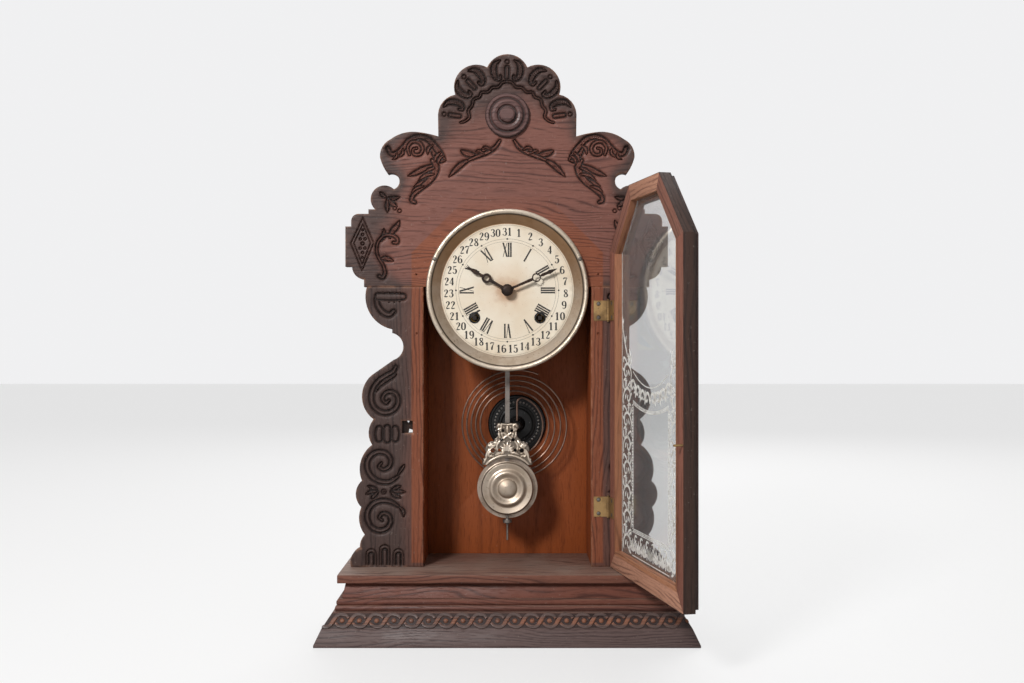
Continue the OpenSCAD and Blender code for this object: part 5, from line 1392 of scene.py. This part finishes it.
def run_tree(tree, name, base, values, body, replaced=None):
    """Runs a tree on a base mesh and keeps the result as a plain piece."""
    maker = bpy.data.objects.new("maker", base)
    scene.collection.objects.link(maker)
    modifier = maker.modifiers.new("maker", "NODES")
    modifier.node_group = tree
    for item in tree.interface.items_tree:
        if item.in_out == "INPUT" and item.name in values:
            modifier[item.identifier] = values[item.name]
    bpy.context.view_layer.update()
    mesh = bpy.data.meshes.new_from_object(maker.evaluated_get(bpy.context.evaluated_depsgraph_get()))
    bpy.data.objects.remove(maker)
    mesh.name = name
    mesh.set_sharp_from_angle(angle=math.radians(TREE_SHARP))
    outward(mesh)
    print(name, "faces", len(mesh.polygons))
    return place_piece(name, mesh, body, replaced)


def line_mesh(points):
    """A bare line of edges through points in metres."""
    mesh = bpy.data.meshes.new("line")
    mesh.from_pydata([tuple(p) for p in points], [(k, k + 1) for k in range(len(points) - 1)], [])
    return mesh


ring_tree, given = new_tree("ring_of_copies", [("Count", COUNT), ("Radius", FLOAT), ("Centre", VECTOR)])
lying = put(ring_tree, "GeometryNodeMeshCircle", {"Vertices": given["Count"], "Radius": given["Radius"]})
upright = put(
    ring_tree, "GeometryNodeTransform",
    {"Geometry": lying.outputs[0], "Translation": given["Centre"], "Rotation": (math.pi / 2, 0, 0)},
)
set_copies(ring_tree, given, upright.outputs[0])

row_tree, given = new_tree("row_of_copies", [("Count", COUNT), ("Start", VECTOR), ("Pitch", VECTOR)])
row = put(
    row_tree, "GeometryNodeMeshLine",
    {"Count": given["Count"], "Start Location": given["Start"], "Offset": given["Pitch"]},
)
set_copies(row_tree, given, row.outputs[0])

wire_tree = sweeping_tree(
    "wound_wire", [("Wire Radius", FLOAT), ("Sides", COUNT)],
    "GeometryNodeCurvePrimitiveCircle", {"Resolution": "Sides", "Radius": "Wire Radius"},
)
strip_tree = sweeping_tree(
    "wound_strip", [("Width", FLOAT), ("Thickness", FLOAT)],
    "GeometryNodeCurvePrimitiveQuadrilateral", {"Width": "Width", "Height": "Thickness"},
)
print("trees:", [t.name for t in bpy.data.node_groups if t.bl_idname == "GeometryNodeTree"])

# %% [markdown]
# ## Gong and mainsprings
# The gong is a steel wire wound flat in five turns. Its inner end stands on a post in a
# black iron cup, which carries a ring of plain beads. The wire is a line of points, from the
# same rule that the frame's solid has, with a round section swept along it. Each mainspring
# is a wide thin strip, let down a little, with its coils spread.

# %% Gong wire
GONG = np.array([9.3, 40.15, 189.0])
INNER, PITCH, TURNS, LEAN, CORNER, POST = 28.5, 5.1, 5, 4.4, 5.0, 4.2
WIRE_R, WIRE_SIDES = 0.85, 8
join = math.degrees(math.acos((LEAN + CORNER) / (INNER - CORNER)))
corner_z = (INNER - CORNER) * math.sin(math.radians(join))
gong_line = [[0, POST - 2.2], [0, POST + 6], [0, corner_z]]
for i in range(1, 8):
    a = math.radians(180 - (180 - join) * i / 8)
    gong_line.append([CORNER + CORNER * math.cos(a), corner_z + CORNER * math.sin(a)])
for t in np.linspace(0, TURNS, TURNS * 64 + 1):
    a, r = math.radians(join - 360 * t), INNER + PITCH * t
    gong_line.append([r * math.cos(a) - LEAN * (1 - 0.16 * t), r * math.sin(a)])
gong_points = [(GONG + [x, 0, z]) * MM for x, z in gong_line]
gong_steel = metal("gong_steel", "80675a", "54413a", 0.34, "301e16", 0.5)
sizes = {"Wire Radius": WIRE_R * MM, "Sides": WIRE_SIDES, "Finish": gong_steel}
run_tree(wire_tree, "gong_wire", line_mesh(gong_points), sizes, "case", "gong_coil")

# %% Beads on the gong's base
BEAD_R, BEAD_RING, BEAD_COUNT = 1.3, 21.6, 40
bead = bpy.data.meshes.new("bead")
work = bmesh.new()
bmesh.ops.create_icosphere(work, subdivisions=2, radius=BEAD_R * MM)
work.to_mesh(bead)
work.free()
before_base = Vector(((GONG[0] + BEAD_RING) * MM, 0, GONG[2] * MM))
bead_y = nodes["gong_base"].ray_cast(before_base, Vector((0, 1, 0)))[1][1]
sizes = {"Count": BEAD_COUNT, "Radius": BEAD_RING * MM, "Finish": bead_iron}
sizes["Centre"] = (GONG[0] * MM, bead_y, GONG[2] * MM)
run_tree(ring_tree, "gong_beads", bead, sizes, "case")
print("beads stand at y", round(bead_y / MM, 2), "mm")

# %% Mainsprings
SPRING_TURNS, SPRING_INNER, SPRING_THICK, SPREAD, MARGIN = 9, 0.0052, 0.0004, 1.15, 0.0006
for node in ("time_spring", "strike_spring"):
    low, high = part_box(node)
    x, y, z = [(a + b) / 2 for a, b in zip(low, high)]
    outer, wide = (high[2] - low[2]) / 2 - MARGIN, high[1] - low[1]
    spiral = []
    for t in np.linspace(0, SPRING_TURNS, SPRING_TURNS * 36 + 1):
        r = SPRING_INNER + (outer - SPRING_INNER) * (t / SPRING_TURNS) ** SPREAD
        spiral.append((x + r * math.cos(2 * math.pi * t), y, z + r * math.sin(2 * math.pi * t)))
    sizes = {"Width": SPRING_THICK, "Thickness": wide, "Finish": strip_steel}
    run_tree(strip_tree, node + "_strip", line_mesh(spiral), sizes, "case", node)

# %% [markdown]
# ## The guilloche on the base
# A ribbon weaves round a row of beads on the sloping face of the front moulding. On the real
# base it was pressed in with a hot roller, so every turn is the same. One turn is built in
# the plane of the slope, and the row tree sets it down along the base. The two ends are cut
# to the mitres.

# %% Guilloche along the base
BEAD_PITCH, BEADS, FIRST_BEAD = 15.4, 21, -147.0
STRIP_TOP, STRIP_LOW = (3.5, 27.9), (12.1, 15.2)
ROUND, BEAD_ROUND, RIBBON_LIFT = 8, 12, 1.4
BEAD_RINGS = ((2.3, -0.3), (2.2, 0.35), (1.6, 0.95), (0.8, 1.25))
shelf_low, shelf_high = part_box("shelf_board")
SHELF_X, SHELF_Y = shelf_high[0] / MM, shelf_low[1] / MM
turn_path = curve([
    [-21.0, -2.2, 1.2], [-18.9, -4.6, 1.5], [-13.9, -5.9, 1.9], [-10.2, -4.2, 1.9], [-7.7, 0, 2.0],
    [-5.0, 4.2, 1.9], [-1.5, 5.9, 1.9], [3.5, 4.6, 1.6], [5.6, 2.2, 1.2],
], 0.9)
slope = np.array(STRIP_TOP) - STRIP_LOW
slope = slope / np.hypot(*slope)
strip_middle = (np.array(STRIP_TOP) + STRIP_LOW) / 2


def on_slope(u, v, lift):
    """A point of the strip: along the base, up the slope and out of it, in metres."""
    out = strip_middle[0] + v * slope[0] + lift * slope[1]
    up = strip_middle[1] + v * slope[1] - lift * slope[0]
    return (u * MM, (SHELF_Y - out) * MM, up * MM)


points, faces = [], []
way = np.gradient(turn_path[:, :2], axis=0)
way /= np.hypot(*way.T)[:, None]
for (u, v, r), (a, b) in zip(turn_path, way):
    for angle in circle(ROUND):
        s, h = r * math.cos(angle), RIBBON_LIFT * math.sin(angle)
        h *= 1.0 if abs(math.cos(angle)) > 0.2 or h < 0 else 0.86
        points.append(on_slope(u - b * s, v + a * s, h))
last = ROUND * (len(turn_path) - 1)
for at in range(0, last, ROUND):
    faces += band(at, ROUND, ROUND)
faces += [tuple(range(ROUND - 1, -1, -1)), tuple(last + j for j in range(ROUND))]
first = len(points)
for r, h in BEAD_RINGS:
    points += [on_slope(r * math.cos(a), r * math.sin(a), h) for a in circle(BEAD_ROUND)]
last = len(points) - BEAD_ROUND
for at in range(first, last, BEAD_ROUND):
    faces += band(at, BEAD_ROUND, BEAD_ROUND)
faces.append(tuple(first + BEAD_ROUND - 1 - j for j in range(BEAD_ROUND)))
faces.append(tuple(last + j for j in range(BEAD_ROUND)))
one_turn = bpy.data.meshes.new("one_turn")
one_turn.from_pydata(points, [], faces)


def ribbon_middle(tree, spot, w):
    """The crossings of the ribbon, half way up the strip, are rubbed the palest."""
    away = calc(tree, "ABSOLUTE", calc(tree, "SUBTRACT", split(tree, spot)[2], strip_middle[1] * MM))
    return in_patches(tree, step(tree, away, 0.001, 0.004, 1, 0), w)


ribbon_wood = wood(
    "ribbon_wood", "5a4843", "40322f", "X", 0.004, 0.6, [(ribbon_middle, "8a5840", 0.85)], 0.42,
    edge=False,
)
sizes = {"Count": BEADS, "Start": (FIRST_BEAD * MM, 0, 0), "Pitch": (BEAD_PITCH * MM, 0, 0)}
sizes["Finish"] = ribbon_wood
guilloche = run_tree(row_tree, "base_guilloche", one_turn, sizes, "case")
work = bmesh.new()
work.from_mesh(guilloche.data)
for side in (-1, 1):
    corner = Vector((side * (SHELF_X - 0.4) * MM, SHELF_Y * MM, 0))
    mitre = Vector((side, 1, 0)).normalized()
    cut = bmesh.ops.bisect_plane(
        work, geom=work.verts[:] + work.edges[:] + work.faces[:], dist=1e-6,
        plane_co=corner, plane_no=mitre, clear_outer=True,
    )
    open_edges = [e for e in cut["geom_cut"] if isinstance(e, bmesh.types.BMEdge)]
    bmesh.ops.holes_fill(work, edges=open_edges, sides=0)
bmesh.ops.recalc_face_normals(work, faces=work.faces)
work.to_mesh(guilloche.data)
work.free()
print("guilloche between its mitres: faces", len(guilloche.data.polygons))

# %% [markdown]
# ## The crown of the pendulum
# Above the bob stands a small nickelled casting of scrolls and leaves. The same drawing
# rule as for the carving makes it, but the runs stand out of the plate as round reeds, and
# the ground between them is painted dark: painted shade where the real casting is pierced.

# %% The crown's drawing, from the middle of the bob
BOB_Z, LIFT = 131.5, 1.5
crown_half = [
    ("reed", [[9.4, 55.4, 1.0], [6.2, 56.6, 1.3], [5.8, 59.2, 1.3], [8.0, 60.6, 1.3],
              [9.0, 58.8, 1.0]]),
    ("reed", [[0.6, 60.4, 0.9], [4.4, 60.8, 1.0], [6.5, 60.8, 0.8]]),
    ("reed", [[-8.0, 56.4, 1.0], [-4.6, 53.4, 1.2], [-0.4, 50.4, 1.2], [4.6, 46.6, 1.3],
              [8.8, 42.6, 1.4], [9.8, 38.2, 1.4], [7.2, 34.4, 1.3], [4.2, 33.8, 1.2],
              [3.0, 36.2, 1.0]]),
    ("leaf", [[6.6, 47.4, 0.7], [8.0, 50.4, 1.3], [8.4, 53.6, 0.6]]),
    ("leaf", [[4.6, 48.8, 0.5], [5.2, 51.6, 1.1], [4.8, 54.6, 0.4]]),
    ("reed", [[11.6, 37.6, 1.0], [14.4, 37.2, 1.4], [17.8, 35.4, 1.6], [19.6, 31.6, 1.5],
              [20.2, 28.2, 1.2], [22.2, 24.6, 0.9]]),
    ("reed", [[13.2, 33.0, 1.0], [15.6, 34.6, 1.3], [17.6, 32.6, 1.3], [16.6, 30.2, 1.2],
              [14.8, 31.2, 1.0]]),
    ("leaf", [[20.4, 29.0, 0.5], [21.6, 27.6, 1.1], [21.2, 24.8, 0.4]]),
    ("dot", [[12.4, 43.6, 0.9]]), ("dot", [[3.0, 44.6, 0.8]]), ("dot", [[3.2, 57.6, 0.9]]),
    ("reed", [[1.0, 31.4, 0.9], [6.4, 30.7, 1.1], [12.0, 28.6, 1.2], [17.0, 25.6, 1.1],
              [20.6, 21.8, 0.8]]),
    ("leaf", [[4.8, 33.4, 0.5], [8.2, 33.2, 1.2], [11.4, 31.4, 0.4]]), ("dot", [[13.4, 30.4, 1.0]]),
    ("leaf", [[12.2, 39.6, 0.5], [11.4, 42.8, 1.3], [9.6, 45.4, 0.4]]),
]


def fan_leaf(x, z, turn, half_way, reach, fat, root=0.0):
    """A leaf that points some degrees to the right of straight up."""
    s, c = math.sin(math.radians(turn)), math.cos(math.radians(turn))
    rows = [[x + root * s, z, 0.5], [x + half_way * s, z + half_way * c, fat]]
    return ("leaf", rows + [[x + reach * s, z + reach * c, 0.4]])


crown_half += [fan_leaf(15.4, 38.6, turn, 2.3, 4.4, 1.2) for turn in (-62, -28, 6, 42)]
crown_drawn = []
for kind, rows in crown_half:
    crown_drawn += [(kind, rows), (kind, mirrored(rows))]
crown_drawn.append(("leaf", [[0, 52.6, 0.5], [0, 56, 1.4], [0, 59.8, 0.4]]))
for turn in range(-84, 85, 28):
    reach = 8.2 - 0.02 * abs(turn)
    crown_drawn.append(fan_leaf(0, 35.6, turn, reach * 0.6, reach, 1.25, 0.4))
print("crown runs:", len(crown_drawn))

# %% Crown relief
CROWN_COARSE, CROWN_FINE, CROWN_ROUND, FULL_HEIGHT = 0.9, 0.34, 0.35, 0.9


def raised(x, z, runs):
    """Height of the relief, in millimetres, at each point of the crown's front."""
    height = np.zeros(len(x))
    for kind, run in runs:
        near = close_to(x, z, run, run[:, 2].max() + 0.1)
        if len(near):
            t, k = in_radii(x[near], z[near], run)
            t, r = np.clip(t, 0, 1), run[k, 2]
            dome = LIFT * np.sqrt(1 - t**2) * np.clip(r, 0.5, 1.3) / 1.3
            if kind == "leaf":
                dome -= 0.35 * groove(t * r, 0, 0.2) * (t < 1)
            height[near] = np.maximum(height[near], dome)
    return height


here = [(kind, curve(rows, 0.2) + [0, BOB_Z, 0]) for kind, rows in crown_drawn]
points, faces, front, spread, _ = new_front("bob_ornament", CROWN_COARSE, CROWN_FINE, here, CROWN_ROUND)
height = raised(points[front, 0], points[front, 2], here) * np.clip(spread / 0.3, 0, 1)
points[front, 1] += 0.35 * (1 - np.clip(spread / CROWN_ROUND, 0, 1)) ** 2 - height
carve = np.ones(len(points))
carve[front] = 1 - np.clip(height / FULL_HEIGHT, 0, 1)
# The last True paints shade dark on the crown's low ground, where the real casting is pierced
crown_nickel = metal("crown_nickel", "c2b5a6", "95836f", 0.25, "5a4c42", 0.4, 1.5, 1.0, True)
marks = {"carve": carve}
add_piece(
    "pendulum_crown", points * MM, faces, crown_nickel, "pendulum", 60, marks, "bob_ornament",
)
print("crown triangles", len(faces))

# %% [markdown]
# ## The rings of the bob
# The bob is stamped from sheet brass: two ridges round a pointed boss. The frame's bob is
# turned with the same number of rings, so its mesh is kept and each ring is moved to the
# radius and height that the stamping has. Light then catches the ridges as it does on
# the real one.

# %% Bob rings
# Shares of the radius where the solid and the stamping have their rings, and mm to the front
TURNED = (0, 0.18, 0.30, 0.36, 0.40, 0.46, 0.50, 0.63, 0.67, 0.73, 0.78, 0.80, 0.86, 0.96, 1.0)
STAMPED = (0, 0.10, 0.21, 0.32, 0.37, 0.40, 0.56, 0.59, 0.72, 0.755, 0.905, 0.93, 0.95, 0.96, 1.0)
RAISED = (7.6, 7.3, 6.5, 5.2, 3.8, 3.8, 6.3, 6.3, 3.5, 3.4, 5.7, 5.7, 4.9, 3.4, 3.0)
RIM_THICK = 2.9
shell_low, shell_high = [np.array(corner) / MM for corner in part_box("bob_shell")]
shell_r = (shell_high[0] - shell_low[0]) / 2
points, faces = merged("bob_shell")
share = np.hypot(points[:, 0], points[:, 2] - BOB_Z) / shell_r
in_front = np.flatnonzero(shell_high[1] - points[:, 1] > RIM_THICK)
moved = np.interp(share[in_front], TURNED, STAMPED) / np.maximum(share[in_front], 0.01)
points[in_front, 0] *= moved
points[in_front, 2] = BOB_Z + (points[in_front, 2] - BOB_Z) * moved
points[in_front, 1] = shell_high[1] - np.interp(share[in_front], TURNED, RAISED)
add_piece(
    "bob_rings", points * MM, faces, bob_nickel, "pendulum", 60, replaced="bob_shell",
)
print("bob radius", round(shell_r, 1), "mm, points moved", len(in_front), "of", len(points))

# %% [markdown]
# ## Glass and its lace
# The pane is plain old glass, so it keeps Principled's own transmission. Its back carries a
# lace of scrolls and leaves that was put on through a stencil. Painting it as an alpha on
# the pane would make the clear parts cost light, so the lace is a separate thin piece, just
# behind the pane. It is drawn for the shut door and turned open about the hinges.

# %% Glass
pane_glass, tree, shader = start("pane_glass")
spot = own_place(tree)
for label, value in (("Metallic", 0.0), ("Transmission Weight", 0.92), ("IOR", 1.35)):
    shader.inputs[label].default_value = value
smear = step(tree, noise(tree, spot, (40, 40, 14), 4.0), 0.45, 0.8, 0.0, 0.05)
tree.links.new(smear, shader.inputs["Roughness"])
tint = blend(tree, noise(tree, spot, (12, 12, 12)), (0.70, 0.71, 0.71, 1), (0.79, 0.80, 0.80, 1))
tree.links.new(tint, shader.inputs["Base Color"])
bumpy(tree, shader, noise(tree, spot, (9, 9, 5), 1.0), 0.04, 0.002)
paint("door_glass", pane_glass)
print("glass", pane_glass.name)

# %% Lace: the upright band of scrolls, right half of the shut door
BAND_X, BAND_LOW, BAND_STEP, BAND_TURNS = 60.3, 82.0, 22.0, 8
BAND_SCROLLS = (
    ((-10, 0, 0.5), (-11, 6, 0.9), (-7, 12, 1.2), (0, 14.5, 1.2), (6.5, 12, 1.1), (8, 6.5, 1.0),
     (4.5, 3, 0.9), (0.5, 5, 0.8), (1.8, 8.4, 0.6)),
    ((0, 14.5, 0.4), (4, 18, 0.9), (10, 20, 0.9), (11, 15.5, 0.4)),
    ((-7, 12, 0.3), (-10.5, 16, 1.1), (-10, 20.5, 0.3)),
)
# Place, degrees from upright, length and half width
BAND_LEAVES = ((8, 7, -50, 6, 1.2), (-3, 14, 20, 7, 1.3), (4, 1.5, -110, 7, 1.1), (-6, 4, -30, 6, 1.2))


def leaf_stroke(x, z, turn, length, fat):
    """A leaf from a point, some degrees up from the right."""
    c, s = length * math.cos(math.radians(turn)), length * math.sin(math.radians(turn))
    return [[x, z, 0.25], [x + 0.5 * c, z + 0.5 * s, fat], [x + c, z + s, 0.2]]


def flower(x, z, r):
    """Five leaves round a dot."""
    return [leaf_stroke(x, z, turn, r, r * 0.24) for turn in range(18, 378, 72)] + [[[x, z, r * 0.28]]]


lace_half = []
for k in range(BAND_TURNS):
    z, flip = BAND_LOW + k * BAND_STEP, 1 if k % 2 else -1
    lace_half += [[[BAND_X + flip * u, z + v, r] for u, v, r in scroll] for scroll in BAND_SCROLLS]
    for u, v, turn, length, fat in BAND_LEAVES:
        lace_half.append(leaf_stroke(BAND_X + flip * u, z + v, 90 + flip * turn, length, fat))
    lace_half += flower(BAND_X - flip * 3.4, z + 20.5, 3.2)
lace_half += [
    [[60, 258, 0.6], [66, 268, 1.0], [72, 282, 0.9], [74.5, 298, 0.3]],
    [[56, 250, 0.4], [52, 258, 1.0], [55, 264, 0.3]],
    leaf_stroke(66, 268, 110, 8, 1.4), leaf_stroke(70, 277, 60, 7, 1.1), leaf_stroke(72.6, 286, 115, 6, 0.9),
]
print("lace strokes of the band:", len(lace_half))

# %% Lace: borders, swag and foot
DASH, DASH_STEP = 1.2, 2.6
SWAG_SCROLL = ((-6, -4, 0.5), (-3, 3.5, 1.2), (2, 5, 1.2), (5, 1, 1.1), (2, -2.5, 0.9), (-0.5, 0, 0.6))
FOOT_STROKES = (
    ((4, 98, 0.5), (7.5, 99, 0.9), (10, 96, 0.9), (8, 93, 0.8), (6.4, 95, 0.5)),
    ((7.5, 83, 0.4), (7.5, 90, 0.8), (7.5, 92.4, 0.3)),
)


def swag(x, share):
    """Height of the swag's run across the pane, from its lower to its upper border."""
    low, high = 209 + 7 * (x / 46) ** 2, 231 + 14 * (x / 46) ** 2
    return low + (high - low) * share


lace_half += [[[x, 105, 0.3], [x, 214, 0.3]] for x in (46.6, 43.8)]
lace_half += [[[45.2, z, 0.7], [45.2, z + DASH, 0.7]] for z in np.arange(107, 214, DASH_STEP)]
for share, wide in ((0, 0.35), (0.1, 0.25), (1, 0.4)):
    lace_half.append([[x, swag(x, share), wide] for x in np.linspace(0, 44, 23)])
for x in np.arange(1, 44, DASH_STEP):
    lace_half.append([[x, swag(x, 0.05), 0.6], [x + DASH, swag(x + DASH, 0.05), 0.6]])
for x in np.arange(6, 44, 12.5):
    middle = swag(x, 0.55)
    lace_half.append([[x + u, middle + v, r] for u, v, r in SWAG_SCROLL])
    lace_half += [leaf_stroke(x + 5, middle + 1, turn, 6.5, 1.3) for turn in (-70, -20, 30, 75)]
lace_half += [[[0, z, wide], [46, z, wide]] for z, wide in ((104.2, 0.3), (101.4, 0.3), (80.5, 0.35))]
lace_half += [[[x, 102.8, 0.7], [x + DASH, 102.8, 0.7]] for x in np.arange(1, 45, DASH_STEP)]
for x in np.arange(0, 46, 15):
    for turn in (30, 60, 90, 120, 150):
        lace_half.append(leaf_stroke(x, 84, turn, 11.5 - 0.03 * abs(90 - turn), 1.5))
    lace_half += [[[x + u, z, r] for u, z, r in stroke] for stroke in FOOT_STROKES]
lace_half += [[[74.6, 76.4, 0.35], [74.6, 352, 0.35]], [[0, 76.4, 0.35], [74.6, 76.4, 0.35]]]
lace_runs = []
for run in lace_half:
    smooth = curve(run, 0.9) if 2 < len(run) < 20 else np.array(run, float)
    lace_runs += [smooth, smooth * [-1, 1, 1]]
print("lace strokes of both halves:", len(lace_runs))

# %% Lace piece
PANE_BACK = -17.65


def swung_open(points):
    """Turns points of the shut door about the hinges to where the door stands."""
    c, s = math.cos(OPEN), math.sin(OPEN)
    x, y = points[:, 0] - HINGE[0], points[:, 1] - HINGE[1]
    return np.column_stack([HINGE[0] + c * x - s * y, HINGE[1] + s * x + c * y, points[:, 2]])


lace_white, tree, shader = start("lace_white")
worn = step(tree, noise(tree, own_place(tree), (260, 260, 260), 4.0), 0.42, 0.7)
tree.links.new(blend(tree, worn, tone("e9e7e2"), tone("bdb7ae")), shader.inputs["Base Color"])
shader.inputs["Roughness"].default_value = 0.8
shader.inputs["Specular IOR Level"].default_value = 0.2
near, far = PANE_BACK + 0.04, PANE_BACK + 0.16
drawn_piece("glass_lace", lace_runs, near, far, lace_white, "door", swung_open)

# %% [markdown]
# ## Every piece has a finish
# The last cell checks that no frame piece is left in its first flat colour, and prints the
# ones that are.

# %% Check and finish


def has_finish(piece):
    """Whether a piece has a material with more nodes than a flat colour needs."""
    return any(m and m.use_nodes and len(m.node_tree.nodes) > 3 for m in piece.data.materials)


plain = [name for name, piece in nodes.items() if not piece.hide_render and not has_finish(piece)]
print("frame pieces without a finish:", plain)
